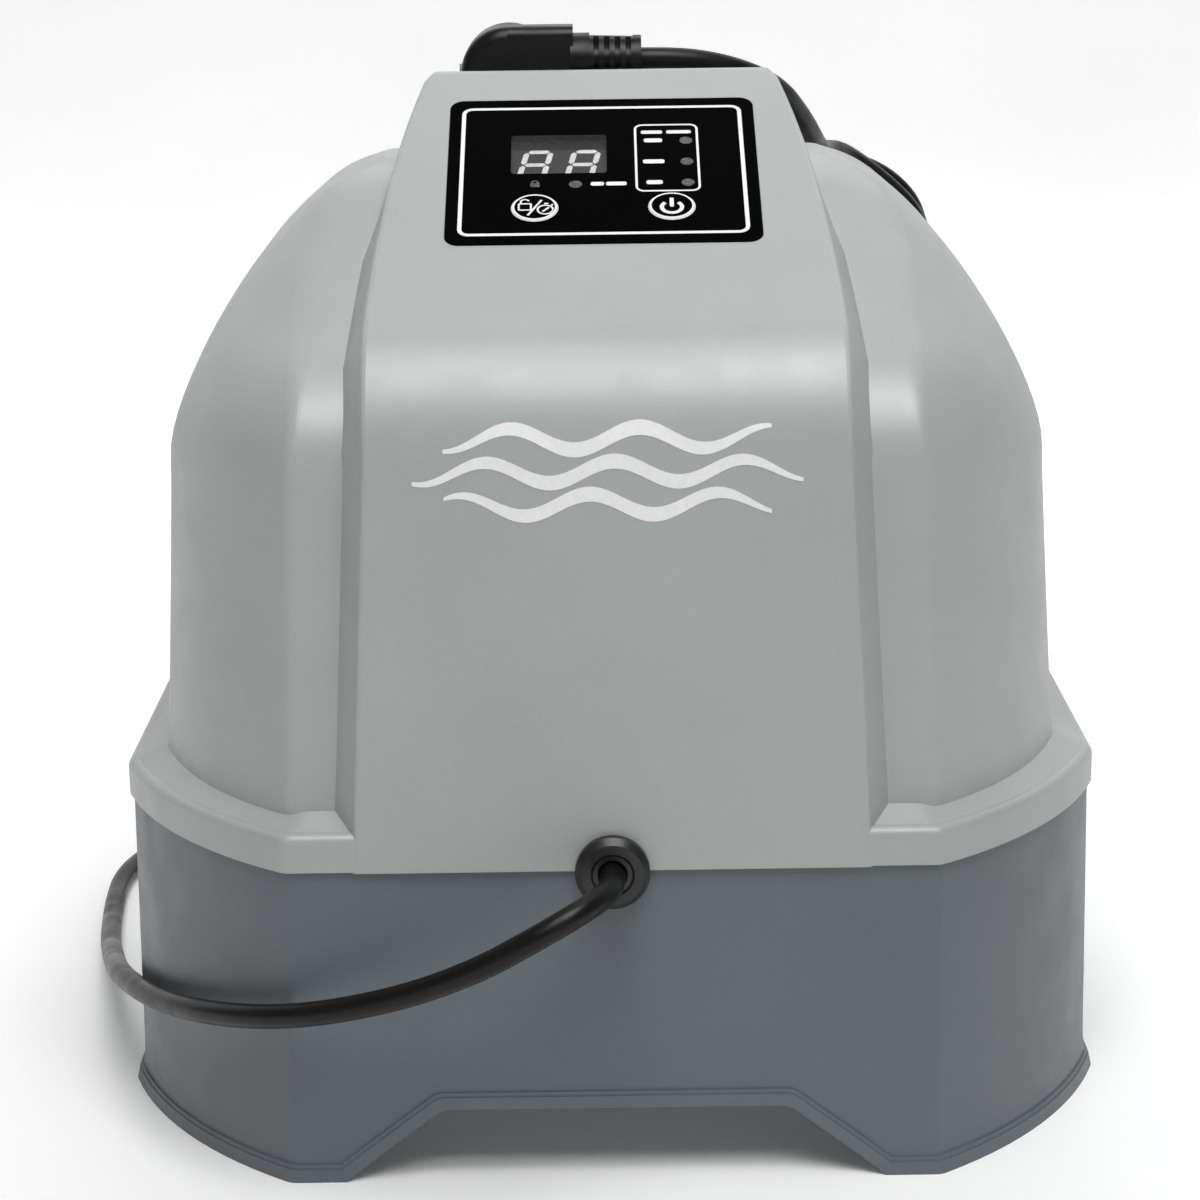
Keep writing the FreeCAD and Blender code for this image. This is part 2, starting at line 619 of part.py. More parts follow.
def base_shape():
    wall, top = S["wall"], S["seam_level"] - S["seam_gap"] / 2
    levels = [0, 3, 6, 10, S["flare_level"], top]
    outer = layered([base_plan(z) for z in levels])
    beads = []
    for high, out in ((S["bead_level"], 0.6 * S["bead_out"]), (S["bead_level"] - 1.4, S["bead_out"])):
        skin = layered([base_plan(z, out) for z in (0, 3, 6, 10, 14, 40)])
        band_up = arch_prism(high).fuse(Part.makeBox(400, 400, high, Vector(-200, -200, 0)))
        beads.append(skin.common(band_up))
    inner = layered([base_plan(-1, -wall - S["base_flare"]), base_plan(top + 1, -wall)])
    shell = outer.multiFuse(beads).cut(inner)
    tongue_out = layered([base_plan(top - 4, -wall + EPS * 5), base_plan(top + 3.4, -wall + EPS * 5)])
    tongue_in = layered([base_plan(top - 5, -wall - 1.5), base_plan(top + 5, -wall - 1.5)])
    clear = [column(x, y, top - 6, top + 6, BOSS_SIZE + 1) for x, y in BOSSES]
    clear.append(Part.makeCylinder(NUT_ROOM / 2, 20, Vector(0, -160, S["seam_level"]), Y))
    tongue = tongue_out.cut(Part.makeCompound([tongue_in] + clear))
    bosses = [column(x, y, FLOOR_LEVEL + FLOOR_THICK + 0.3, S["seam_level"], BOSS_SIZE) for x, y in BOSSES]
    posts = [column(x, y, FLOOR_LEVEL + FLOOR_THICK, 52, 12.0) for x, y in FLOOR_POSTS]
    within = layered([base_plan(20, -0.8), base_plan(S["seam_level"] + 0.1, -0.8)])
    shell = shell.multiFuse([tongue] + [stand.common(within) for stand in bosses + posts])
    holes = [column(x, y, 20, S["seam_level"] + 1, SCREW_HOLE) for x, y in BOSSES]
    holes += [column(x, y, 20, 92, 8.0) for x, y in BOSSES]
    holes += [column(x, y, 20, 48, 3.0) for x, y in FLOOR_POSTS]
    holes.append(arch_prism())
    holes += [Part.makeCylinder(S["thread_size"] / 2 + 0.8, 40, Vector(x, 140, S["cell_level"]), Y)
              for x in (-PORT_X, PORT_X)]
    holes.append(Part.makeCylinder(GLAND_NECK / 2, 30, Vector(0, -175, S["seam_level"]), Y))
    return shell.cut(Part.makeCompound(holes))


def chassis_shape():
    """Plate that closes the hood from below and carries the power board."""
    plate = plan_wire(CHASSIS_LEVEL, 100, 143.6, 151.0, 66.0)
    solid = Part.Face(plate).extrude(Z * CHASSIS_THICK)
    holes = [column(x, y, CHASSIS_LEVEL - 1, CHASSIS_LEVEL + 5, 3.4) for x, y in POSTS]
    passages = [(0, LEAD_RISE, 16.0), (*CABLE_RISE, 17.0)]
    passages += [(x, SENSOR_Y, 12.0) for x in (-PORT_X, PORT_X)]
    holes += [column(x, y, CHASSIS_LEVEL - 1, CHASSIS_LEVEL + 5, size) for x, y, size in passages]
    stands = [column(x, y, CHASSIS_LEVEL, POWER_LEVEL, 8.0) for x, y in POWER_SCREWS]
    solid = solid.multiFuse(stands)
    holes += [column(x, y, CHASSIS_LEVEL - 1, POWER_LEVEL + 1, 2.7) for x, y in POWER_SCREWS]
    return solid.cut(Part.makeCompound(holes))


def floor_shape():
    """Plate that closes the base above the arches and carries the cell."""
    outline = base_plan(FLOOR_LEVEL, -S["wall"] - 0.9)
    solid = Part.Face(outline).extrude(Z * FLOOR_THICK)
    holes = [column(x, y, FLOOR_LEVEL - 1, FLOOR_LEVEL + 5, 9.0) for x, y in BOSSES]
    holes += [column(x, y, FLOOR_LEVEL - 1, FLOOR_LEVEL + 5, 3.4) for x, y in FLOOR_POSTS]
    holes += [column(x, y, FLOOR_LEVEL - 1, FLOOR_LEVEL + 5, 4.1) for x, y in SADDLE_SCREWS]
    drains = [(x, y) for x in (-60, -20, 20, 60) for y in (-60, -20, 20)]
    holes += [column(x, y, FLOOR_LEVEL - 1, FLOOR_LEVEL + 5, 8.0) for x, y in drains]
    return solid.cut(Part.makeCompound(holes))


POWER_LEVEL = CHASSIS_LEVEL + CHASSIS_THICK + 6.0
POWER_SCREWS = [(sx * 66.0, -20 + sy * 42.0) for sx in (-1, 1) for sy in (-1, 1)]
CELL_Y = 95.0
SENSOR_Y = 128.0                             # the flow switch and the probe on the cell's branches
LEAD_RISE = -118.0                           # where the mains lead goes up through the chassis
CABLE_RISE = (124.0, 84.0)                   # where the cell's cables go up through the chassis
SADDLE_X, SADDLE_REACH = 28.0, 41.0
SADDLE_SCREWS = [(sx * SADDLE_X, CELL_Y + sy * SADDLE_REACH) for sx in (-1, 1) for sy in (-1, 1)]

node(feature("hood_shell", hood_shape()))
node(feature("base_shell", base_shape()))
node(feature("chassis_plate", chassis_shape()))
node(feature("floor_plate", floor_shape()))


# ---------------------------------------------------------------- screws
def screws(label, head, head_high, shank, reach, places):
    """Pan head screws in one node: each head stands below its placement, each shank points along +Z."""
    outline = [(0, -head_high), (head / 2 - 0.5, -head_high), (head / 2, 0.6 - head_high), (head / 2, 0),
               (shank / 2, 0), (shank / 2, reach - shank / 3), (shank / 6, reach), (0, reach)]
    master = turned(label + "_one", outline, at())
    return node(copies(label, master, places))


SCREW_SEAT = 92.0
BOARD_THICK = 1.6
screws("housing_screws", 7.6, 3.0, 4.0, 23.5, [at(x, y, SCREW_SEAT) for x, y in BOSSES])
screws("floor_screws", 5.6, 2.4, 2.9, 17.0, [at(x, y, FLOOR_LEVEL) for x, y in FLOOR_POSTS])
screws("chassis_screws", 5.6, 2.4, 3.0, 17.0, [at(x, y, CHASSIS_LEVEL) for x, y in POSTS])
board_back = -BOARD_DEPTH - BOARD_THICK
screws("display_board_screws", 5.0, 2.0, 2.6, 7.0, [on_panel(u, v, board_back) for u, v in BOARD_SCREWS])
board_top = POWER_LEVEL + BOARD_THICK
screws("power_board_screws", 5.0, 2.0, 2.6, 9.5, [at(x, y, board_top, X, 180) for x, y in POWER_SCREWS])

# ---------------------------------------------------------------- control panel
OVERLAY_LOW = cell("overlay_proud") - cell("overlay_thick")
LED_SIZE, LED_GAP = 4.4, 0.1
LED_SPOTS = [(29.0, 17.2), (29.0, 4.1), (29.0, -8.8), (-23.1, -8.8), (-9.3, -9.1)]
BUTTON_U = S["button_apart"] / 2
BUTTONS = {"lock_timer": -BUTTON_U, "power": BUTTON_U}
WINDOW_U, WINDOW_V = -15.0, 9.7


def light_pipes(label, size, low, high):
    rods = [Part.makeCylinder(size / 2, high - low, Vector(u, v, low), Z) for u, v in LED_SPOTS]
    return feature(label, Part.makeCompound(rods), on_panel())


def control_overlay():
    """The thin front plate of the panel, with holes for the window, the buttons and the lamps."""
    low = OVERLAY_LOW.value
    sheet_plate = box("overlay_plate", cell("overlay_width"), cell("overlay_length"), cell("overlay_thick"),
                      on_panel(w=low))
    plate = rounded("overlay_corners", sheet_plate, OVERLAY_CORNER,
                    lambda e: is_upright(e, PANEL_TILT.multVec(Z)))
    tools = [box("overlay_window", cell("window_width"), cell("window_length"), 6,
                 on_panel(WINDOW_U, WINDOW_V, low - 2))]
    for name, u in BUTTONS.items():
        tools.append(cylinder(f"overlay_hole_{name}", cell("button_size") + cell("button_gap") * 2, 6,
                              on_panel(u, S["button_row"], low - 2)))
    tools.append(light_pipes("overlay_lamp_holes", LED_SIZE + 2 * LED_GAP, low - 2, 3))
    return cut("control_overlay", plate, *tools)


def display_window():
    """The smoked pane and the flange that holds it under the overlay."""
    low, flange = OVERLAY_LOW.value, 0.8
    pane = box("window_pane", cell("window_width") - 0.1, cell("window_length") - 0.1,
               cell("overlay_thick") - 0.1, on_panel(WINDOW_U, WINDOW_V, low))
    rim = box("window_rim", cell("window_width") + 5, cell("window_length") + 4, flange,
              on_panel(WINDOW_U, WINDOW_V, low - flange))
    return fuse("display_window", pane, rim)


def button(label, u):
    """A push button: its cap in the overlay's hole, a flange under the overlay and a stem."""
    cap = cell("button_size") / 2
    return turned(label, [(0, -4.1), (2.5, -4.1), (2.5, -2.1), (cap + 1.2, -2.1), (cap + 1.2, -0.95),
                          (cap, -0.95), (cap, 0.5), (cap - 0.5, 1.0), (cap - 1.2, 1.0), (cap - 1.6, 0.7),
                          (0, 0.7)], on_panel(u, S["button_row"]))


PLUNGER_SIZE = 3.5
node(control_overlay())
node(display_window())
for name, u in BUTTONS.items():
    node(button("button_" + name, u))
    node(turned("plunger_" + name, [(0, -8.0), (PLUNGER_SIZE / 2 - 0.3, -8.0), (PLUNGER_SIZE / 2, -7.7),
                                    (PLUNGER_SIZE / 2, -4.1), (0, -4.1)], on_panel(u, S["button_row"])))
switch_block = box("switch_block", 6.2, 6.2, 3.5)
switch_one = cut("switch_one", switch_block, cylinder("switch_bore", PLUNGER_SIZE + 0.1, 6, at(z=0.1)))
node(copies("tact_switches", switch_one,
            [on_panel(u, S["button_row"], -BOARD_DEPTH) for u in BUTTONS.values()]))
board_plate = box("display_board_plate", 100, 84, BOARD_THICK, on_panel(w=board_back))
board_holes = [cylinder(f"display_board_hole_{i}", 3.2, 6, on_panel(u, v, board_back - 2))
               for i, (u, v) in enumerate(BOARD_SCREWS)]
node(cut("display_board", board_plate, *board_holes))
node(box("digit_display", 34, 20, BOARD_DEPTH - 1.9, on_panel(WINDOW_U, WINDOW_V, -BOARD_DEPTH)))
node(light_pipes("indicator_leds", LED_SIZE, -BOARD_DEPTH, S["overlay_proud"]))

# ---------------------------------------------------------------- mains inlet
GLAND_INNER = -148.0                         # inner end of the gland's neck
CORD_RADIUS = cell("cord_size") / 2
to_front = dict(axis=X, angle=90)
node(turned("cord_gland", [(CORD_RADIUS + 0.1, 0), (GLAND_NECK / 2 - 0.1, 0), (GLAND_NECK / 2 - 0.1, 12.5),
                           (12.2, 12.5), (12.2, 15.4), (10.2, 17.5), (7.2, 17.5), (6.4, 16.9),
                           (CORD_RADIUS + 0.9, 16.9), (CORD_RADIUS + 0.1, 16.0)],
            at(0, GLAND_INNER, S["seam_level"], **to_front)))
prism = bound(doc.addObject("Part::Prism", "gland_nut_prism"), Circumradius=13.8, Height=5.0)
prism.Polygon = 6
prism.Placement = at(0, -150.2, S["seam_level"], **to_front)
node(cut("gland_nut", prism, cylinder("gland_nut_bore", GLAND_NECK - 0.1, 12,
                                      at(0, -146, S["seam_level"], **to_front))))
GLAND_FACE = -165.4
lead_route = [Vector(0, GLAND_FACE, S["seam_level"]), Vector(0, -140, S["seam_level"]),
              Vector(0, LEAD_RISE - 2, 112), Vector(0, LEAD_RISE, 131)]
node(feature("inner_lead", tube(lead_route, S["cord_size"])[0]))
TERMINAL_Y, TERMINAL_HIGH, TERMINAL_APART = -92.0, 16.0, 12.0
chassis_top = CHASSIS_LEVEL + CHASSIS_THICK
terminal_top = chassis_top + TERMINAL_HIGH
core_solids = []
for k in (-1, 0, 1):
    core_route = [Vector(2.7 * k, LEAD_RISE, 131.4), Vector(5 * k, LEAD_RISE + 1, 146),
                  Vector(TERMINAL_APART * k, TERMINAL_Y - 5, 154),
                  Vector(TERMINAL_APART * k, TERMINAL_Y, terminal_top + 0.6)]
    core_solids.append(tube(core_route, 2.6)[0])
node(feature("mains_cores", Part.makeCompound(core_solids)))
terminal_body = box("terminal_body", 3.6 * TERMINAL_APART, 16, TERMINAL_HIGH,
                    at(0, TERMINAL_Y, chassis_top))
terminal_slots = [box(f"terminal_slot_{side}", 1.5, 20, 6,
                      at(side * TERMINAL_APART / 2, TERMINAL_Y, terminal_top - 5)) for side in (-1, 1)]
node(cut("terminal_block", terminal_body, *terminal_slots))

# ---------------------------------------------------------------- power board
BOARD_Y = -20.0


def on_board(x, y, high=0.0):
    return at(x, y, board_top + high)


power_plate = box("power_board_plate", 150, 100, BOARD_THICK, at(0, BOARD_Y, POWER_LEVEL))
node(cut("power_board", power_plate, *[cylinder(f"power_board_hole_{i}", 3.0, 6, at(x, y, POWER_LEVEL - 2))
                                       for i, (x, y) in enumerate(POWER_SCREWS)]))
CORE_X, LIMB, CORE_THICK = -40.0, 16.0, 24.0
core_block = box("core_block", 60, CORE_THICK, 50, on_board(CORE_X, BOARD_Y))
core_windows = [box(f"core_window_{i}", 12, CORE_THICK + 2, 30, on_board(CORE_X + 14 * side, BOARD_Y, 10))
                for i, side in enumerate((-1, 1))]
node(cut("transformer_core", core_block, *core_windows))
coil_block = rounded("coil_block_round", box("coil_block", 39, 40, 29.4, on_board(CORE_X, BOARD_Y, 10.3)),
                     5, is_upright)
coil_hole = box("coil_hole", LIMB, CORE_THICK, 40, on_board(CORE_X, BOARD_Y, 5))
node(cut("transformer_coil", coil_block, coil_hole))
capacitor = turned("capacitor", [(0, 0), (9, 0), (9, 29.4), (8.4, 30), (0, 30)], at())
node(copies("capacitors", capacitor, [on_board(x, -52) for x in (8, 29, 50)]))
relay = rounded("relay", box("relay_block", 19, 15.5, 16), 1.0, is_upright)
node(copies("relays", relay, [on_board(x, 12) for x in (8, 31)]))
sink_block = box("heat_sink_block", 50, 26, 34, on_board(22, BOARD_Y))
sink_gaps = [box(f"heat_sink_gap_{i}", 52, 2.6, 30, on_board(22, BOARD_Y + 5 * (i - 2), 5))
             for i in range(5)]
node(cut("heat_sink", sink_block, *sink_gaps))
fuse_body = box("fuse_body", 30, 9, 12, on_board(-38, -58))
node(cut("fuse_holder", fuse_body, box("fuse_slot", 24, 5, 6, on_board(-38, -58, 8))))
# sockets on the power board: place across and along it, then width, length and height
CONNECTORS = {"cell": (64, -8, 14, 30, 12), "sensor": (-48, 16, 20, 10, 10), "display": (-12, -62, 20, 6, 9)}
socket_deep, socket_v = 5.0, -20.0
sockets = [Part.makeBox(long, wide, high, Vector(x - long / 2, y - wide / 2, board_top))
           for x, y, long, wide, high in CONNECTORS.values()]
socket_low = board_back - socket_deep
sockets.append(panel_solid(20, 6, socket_deep, CONNECTORS["display"][0], socket_v, socket_low))
node(feature("board_connectors", Part.makeCompound(sockets)))


# ---------------------------------------------------------------- cables inside
def ribbon(points, thick, width, x):
    """A flat cable that follows points in the YZ plane."""
    spots = [Vector(x - width / 2, y, z) for y, z in points]
    upper, lower = [], []
    for i, spot in enumerate(spots):
        into, out = spot - spots[max(i - 1, 0)], spots[min(i + 1, len(spots) - 1)] - spot
        into, out = Vector(into if into.Length else out), Vector(out if out.Length else into)
        across = (into.normalize() + out.normalize()).normalize().cross(X)
        reach = thick / 2 / max(abs(across.dot(out.cross(X))), 0.5)
        upper.append(spot + across * reach)
        lower.append(spot - across * reach)
    ring = upper + lower[::-1]
    return Part.Face(Part.makePolygon(ring + ring[:1])).extrude(X * width)


def panel_point(v, w):
    spot = Vector(0, PANEL_Y, PANEL_Z) + PANEL_TILT.multVec(Vector(0, v, w))
    return spot.y, spot.z


display_x, _, _, _, display_high = CONNECTORS["display"]
ribbon_ends = [panel_point(socket_v, board_back - socket_deep - drop) for drop in (0, 20)]
node(feature("display_cable", ribbon([*ribbon_ends, (-58, 215), (-63, 175), (-62, 158),
                                      (-62, board_top + display_high)], 1.2, 16, display_x)))
cable_solids = []
STUD_END, STUD_APART = 118.0, 11.0
for k in (-1, 0, 1):
    y = CELL_Y + STUD_APART * k
    x_rise, y_rise = CABLE_RISE[0], CABLE_RISE[1] + 5 * k
    x_end, y_end = CONNECTORS["cell"][0], CONNECTORS["cell"][1] + 9 * k
    cell_top = board_top + CONNECTORS["cell"][4]
    cable_route = [Vector(STUD_END, y, S["cell_level"]), Vector(STUD_END + 13, y, S["cell_level"]),
                   Vector(x_rise, y_rise, 118), Vector(x_rise + 1, y_rise, 154),
                   Vector(x_end, y_end, 161), Vector(x_end, y_end, cell_top)]
    cable_solids.append(tube(cable_route, 4.0)[0])
node(feature("cell_cables", Part.makeCompound(cable_solids)))
SENSOR_TOP = 102.0
sensor_end = board_top + CONNECTORS["sensor"][4]
sensor_routes = [
    [Vector(-PORT_X, SENSOR_Y, SENSOR_TOP), Vector(-PORT_X, SENSOR_Y, 142), Vector(-52, 62, 150),
     Vector(-52, 16, 156), Vector(-52, 16, sensor_end)],
    [Vector(PORT_X, SENSOR_Y, SENSOR_TOP), Vector(PORT_X, SENSOR_Y, 142), Vector(-4, 78, 152),
     Vector(-44, 16, 158), Vector(-44, 16, sensor_end)]]
node(feature("sensor_cables", Part.makeCompound([tube(route, 3.0)[0] for route in sensor_routes])))

# ---------------------------------------------------------------- electrolytic cell
LEVEL = S["cell_level"]
to_rear = dict(axis=X, angle=-90)
CELL_END = S["cell_length"] / 2
BRANCH_BORE, BRANCH_SIZE, SEAT_LEVEL = 34.0, 44.0, 90.0


def cell_housing():
    """A pipe across the base with two branches to the rear, each ending in a threaded stub."""
    solids = [cylinder("cell_pipe", cell("cell_size"), cell("cell_length"),
                       at(-CELL_END, CELL_Y, LEVEL, Y, 90))]
    bores = [cylinder("cell_bore", cell("cell_bore"), cell("cell_length") + 2,
                      at(-CELL_END - 1, CELL_Y, LEVEL, Y, 90))]
    for name, x, hole in (("inlet", -PORT_X, 12.2), ("outlet", PORT_X, 8.2)):
        solids += [cylinder(f"branch_{name}", BRANCH_SIZE, THREAD_END - CELL_Y - 4,
                            at(x, CELL_Y, LEVEL, **to_rear)),
                   cylinder(f"shoulder_{name}", 60, 4, at(x, 150, LEVEL, **to_rear)),
                   cylinder(f"thread_{name}", cell("thread_size"), 20,
                            at(x, THREAD_END - 20, LEVEL, **to_rear)),
                   cylinder(f"sensor_seat_{name}", 20, SEAT_LEVEL - LEVEL, at(x, SENSOR_Y, LEVEL))]
        bores += [cylinder(f"branch_bore_{name}", BRANCH_BORE, 100, at(x, CELL_Y, LEVEL, **to_rear)),
                  cylinder(f"sensor_bore_{name}", hole, 40, at(x, SENSOR_Y, LEVEL))]
    return cut("cell_housing", fuse("cell_walls", *solids), *bores)


def spigot(label, flange, place):
    """A flange with a spigot and its seal groove, seen from the pipe's end face outwards."""
    bore, rim = cell("cell_bore") / 2, cell("cell_size") / 2 + 2.1
    groove = bore - 2.1
    return turned(label, [(0, -14), (bore - 0.6, -14), (bore - 0.1, -13.5), (bore - 0.1, -9.1),
                          (groove, -9.1), (groove, -6.8), (bore - 0.1, -6.8), (bore - 0.1, 0), (rim, 0),
                          (rim, flange - 1.5), (rim - 1.5, flange), (0, flange)], place)


cap_places = {"left": at(-CELL_END, CELL_Y, LEVEL, Y, -90), "right": at(CELL_END, CELL_Y, LEVEL, Y, 90)}
HOLDER_THICK, SPIGOT_DEEP = 14.0, 14.0
node(cell_housing())
node(spigot("cell_end_cap", 8.0, cap_places["left"]))
node(spigot("electrode_holder", HOLDER_THICK, cap_places["right"]))
seal_minor, seal_major = 1.05, S["cell_bore"] / 2 - 1.05
seals = []
for place in cap_places.values():
    ring = Part.makeTorus(seal_major, seal_minor)
    ring.Placement = place.multiply(Placement(Vector(0, 0, -7.95), Rotation()))
    seals.append(ring)
node(feature("cell_o_rings", Part.makeCompound(seals), Placement()))
PLATE_LENGTH, PLATE_PITCH = 128.0, 6.0
plate_one = box("plate_one", PLATE_LENGTH, 1.0, 38, centred=False)
plates_start = CELL_END - SPIGOT_DEEP - PLATE_LENGTH
node(copies("electrode_plates", plate_one,
            [at(plates_start, CELL_Y + PLATE_PITCH * k - 0.5, LEVEL - 19) for k in range(-3, 4)]))
stud = turned("stud", [(0, 0), (5, 0), (5, 3), (3, 3), (3, 9), (0, 9)], at())
node(copies("electrode_terminals", stud, [
    at(CELL_END + HOLDER_THICK, CELL_Y + STUD_APART * k, LEVEL, Y, 90) for k in (-1, 0, 1)]))

SADDLE_WIDE, SADDLE_BASE = 14.0, FLOOR_LEVEL + FLOOR_THICK
ear_high = 3.0
saddles, straps = [], []
pipe_radius = S["cell_size"] / 2
for x in (-SADDLE_X, SADDLE_X):
    round_pipe = Part.makeCylinder(pipe_radius, 40, Vector(x - 20, CELL_Y, LEVEL), X)
    start = x - SADDLE_WIDE / 2
    block = Part.makeBox(SADDLE_WIDE, 94, LEVEL - SADDLE_BASE, Vector(start, CELL_Y - 47, SADDLE_BASE))
    drill = [column(x, CELL_Y + side * SADDLE_REACH, SADDLE_BASE - 1, LEVEL + 10, 4.4) for side in (-1, 1)]
    saddles.append(block.cut(Part.makeCompound([round_pipe] + drill)))
    over = Part.makeCylinder(pipe_radius + 3.5, SADDLE_WIDE, Vector(start, CELL_Y, LEVEL), X)
    upper = Part.makeBox(40, 100, 50, Vector(x - 20, CELL_Y - 50, LEVEL))
    ears = Part.makeBox(SADDLE_WIDE, 94, ear_high, Vector(start, CELL_Y - 47, LEVEL))
    straps.append(over.common(upper).fuse(ears).cut(Part.makeCompound([round_pipe] + drill)))
node(feature("cell_saddles", Part.makeCompound(saddles)))
node(feature("cell_straps", Part.makeCompound(straps)))
screws("saddle_screws", 7.0, 2.8, 4.0, LEVEL + ear_high - FLOOR_LEVEL + 1,
       [at(x, y, LEVEL + ear_high, X, 180) for x, y in SADDLE_SCREWS])

# flow switch: its paddle hangs in the inlet branch from a pin
PADDLE_AXIS = 76.0
switch_turned = turned("flow_switch_turned", [(0, -18), (6.0, -18), (6.0, 0), (9, 0), (9, 8), (8, 9),
                                              (4, 9), (4, 12), (0, 12)],
                       at(-PORT_X, SENSOR_Y, SEAT_LEVEL))
pin_size = 2.0
pin_place = at(-PORT_X - 5.8, SENSOR_Y, PADDLE_AXIS, Y, 90)
slot = box("flow_switch_slot", 3.0, 20, 10.1, at(-PORT_X, SENSOR_Y, SEAT_LEVEL - 18.1))
pin_hole = cylinder("flow_switch_pin_hole", pin_size, 14, at(-PORT_X - 7, SENSOR_Y, PADDLE_AXIS, Y, 90))
node(cut("flow_switch_body", switch_turned, slot, pin_hole))
node(cylinder("paddle_pin", pin_size, 11.6, pin_place))
hub = cylinder("paddle_hub", 6, 2.8, at(-PORT_X - 1.4, SENSOR_Y, PADDLE_AXIS, Y, 90))
arm = box("paddle_arm", 2.8, 1.6, PADDLE_AXIS - 55, at(-PORT_X, SENSOR_Y, 55))
blade = box("paddle_blade", 13, 1.6, 13, at(-PORT_X, SENSOR_Y, 54))
paddle_bore = cylinder("paddle_bore", cell("running_gap") * 2 + pin_size, 6,
                       at(-PORT_X - 3, SENSOR_Y, PADDLE_AXIS, Y, 90))
node(cut("flow_paddle", fuse("paddle_walls", hub, arm, blade), paddle_bore))
node(turned("temperature_probe", [(0, -30), (3, -30), (4, -28.5), (4, 0), (8, 0), (8, 6), (7, 7), (3.5, 7),
                                  (3.5, 12), (0, 12)], at(PORT_X, SENSOR_Y, SEAT_LEVEL)))

# ---------------------------------------------------------------- hose unions
NUT_START, NUT_LONG, NUT_FLANGE = 162.0, 28.0, 19.3
ADAPTER_START = THREAD_END + 3.2
o_minor, o_major = 1.6, 21.5
nut_bore = cell("thread_size") / 2 + cell("running_gap")
nut_radius = cell("nut_size") / 2
tail = cell("tail_size") / 2
for name, x in (("inlet", -PORT_X), ("outlet", PORT_X)):
    blank = turned(f"union_blank_{name}", [
        (nut_bore, 0), (nut_radius - 1.5, 0), (nut_radius, 1.5), (nut_radius, NUT_LONG - 5),
        (nut_radius - 4, NUT_LONG), (19.2, NUT_LONG), (19.2, NUT_FLANGE), (nut_bore, NUT_FLANGE)],
        at(x, NUT_START, LEVEL, **to_rear))
    grooves = []
    for i in range(14):
        turn_angle = 2 * math.pi * (i + 0.5) / 14
        spot = Vector(math.cos(turn_angle), 0, math.sin(turn_angle)) * (S["nut_size"] / 2 + 1.6)
        grooves.append(Part.makeCylinder(3.2, NUT_LONG - 6, Vector(x, NUT_START - 1, LEVEL) + spot, Y))
    node(cut(f"union_nut_{name}", blank, feature(f"union_grooves_{name}", Part.makeCompound(grooves))))
    adapter_long = PORT_END - ADAPTER_START
    tail_start = adapter_long - S["tail_length"]
    node(turned(f"hose_adapter_{name}", [
        (cell("tail_bore") / 2, 0), (24.5, 0), (24.5, 4), (19, 4), (19, tail_start - 2),
        (tail + 1, tail_start), (tail, tail_start), (tail, adapter_long - 1.2),
        (tail - 1.2, adapter_long), (cell("tail_bore") / 2, adapter_long)],
        at(x, ADAPTER_START, LEVEL, **to_rear)))
o_rings = [Part.makeTorus(o_major, o_minor, Vector(x, THREAD_END + o_minor, LEVEL), Y)
           for x in (-PORT_X, PORT_X)]
node(feature("union_o_rings", Part.makeCompound(o_rings)))

# ---------------------------------------------------------------- mains lead
SHELF_REST = S["shelf_level"]
PLUG_X, PLUG_RADIUS, PLUG_FRONT, PLUG_DEEP = -33.7, 17.25, 22.0, 26.0
PLUG_LEVEL = SHELF_REST + PLUG_RADIUS
SLEEVE_Y, SLEEVE_LEVEL, SLEEVE_START, SLEEVE_END = 30.0, 354.0, -11.0, 14.8
COIL_CENTRE, COIL_LEAN, COIL_MINOR = Vector(90.5, 164.2, 262.5), 68.0, 9.8

# from the gland's face down the front, round the left side and along the floor behind the base
LEAD_ROUTE = [
    (0, -165.5, 107.5), (0, -177.5, 107.5), (-5, -189, 107), (-14.5, -197.5, 104), (-27, -200, 97.5),
    (-44, -197, 87), (-70, -187, 74), (-104, -176, 64), (-135, -150, 55.5), (-160, -110, 46),
    (-179, -60, 36), (-190, -5, 22), (-200, 50, 9), (-207, 108, 4.2), (-208, 142, 4.2), (-199, 172, 4.2),
    (-177, 193, 4.2), (-145, 199, 4.2), (-105, 190, 4.2), (-62, 188, 4.2), (-20, 193, 4.2),
    (20, 186, 4.2), (62, 190, 4.2), (92, 186, 4.2), (117.5, 182.5, 19.2), (132.5, 180, 45),
    (132, 178, 77), (129, 178, 112), (131, 179, 147), (134, 179, 182), (138.5, 176, 214), (140, 171, 240)]
# from the coil's top over the hood's shoulder to the plug
TAIL_ROUTE = [
    (87.1, 139.8, 304.6), (88, 124, 309.5), (86, 107, 311), (82.5, 86, 317), (76, 67, 328.5),
    (67, 51, 340.5), (55, 40, 347.5), (41, 33, 352), (27, 30, 354), (SLEEVE_END + 0.05, 30, 354)]
for label, route in (("cord_lead", LEAD_ROUTE), ("cord_tail", TAIL_ROUTE)):
    solid, radii, length = tube([Vector(*p) for p in route], S["cord_size"])
    node(feature(label, solid))
    print(label, "length", round(length), "radii", [round(r) for r in radii])

coil_turn = Rotation(X, 180 - COIL_LEAN)


def coil_part(minor, start=0.0, sweep=360.0):
    """A stretch of the coil's ring, from an angle on the ring."""
    ring = Part.makeTorus(S["coil_radius"], minor, Vector(), Z, 0, 360, sweep)
    ring.Placement = Placement(COIL_CENTRE, coil_turn.multiply(Rotation(Z, start)))
    return Part.makeCompound([ring])


TIE_SWEEP, TIE_THICK = 20.0, 1.3
node(feature("cord_coil", coil_part(COIL_MINOR)))
tie = coil_part(COIL_MINOR + TIE_THICK, -90 - TIE_SWEEP / 2, TIE_SWEEP)
node(feature("cord_tie", tie.cut(coil_part(COIL_MINOR))))


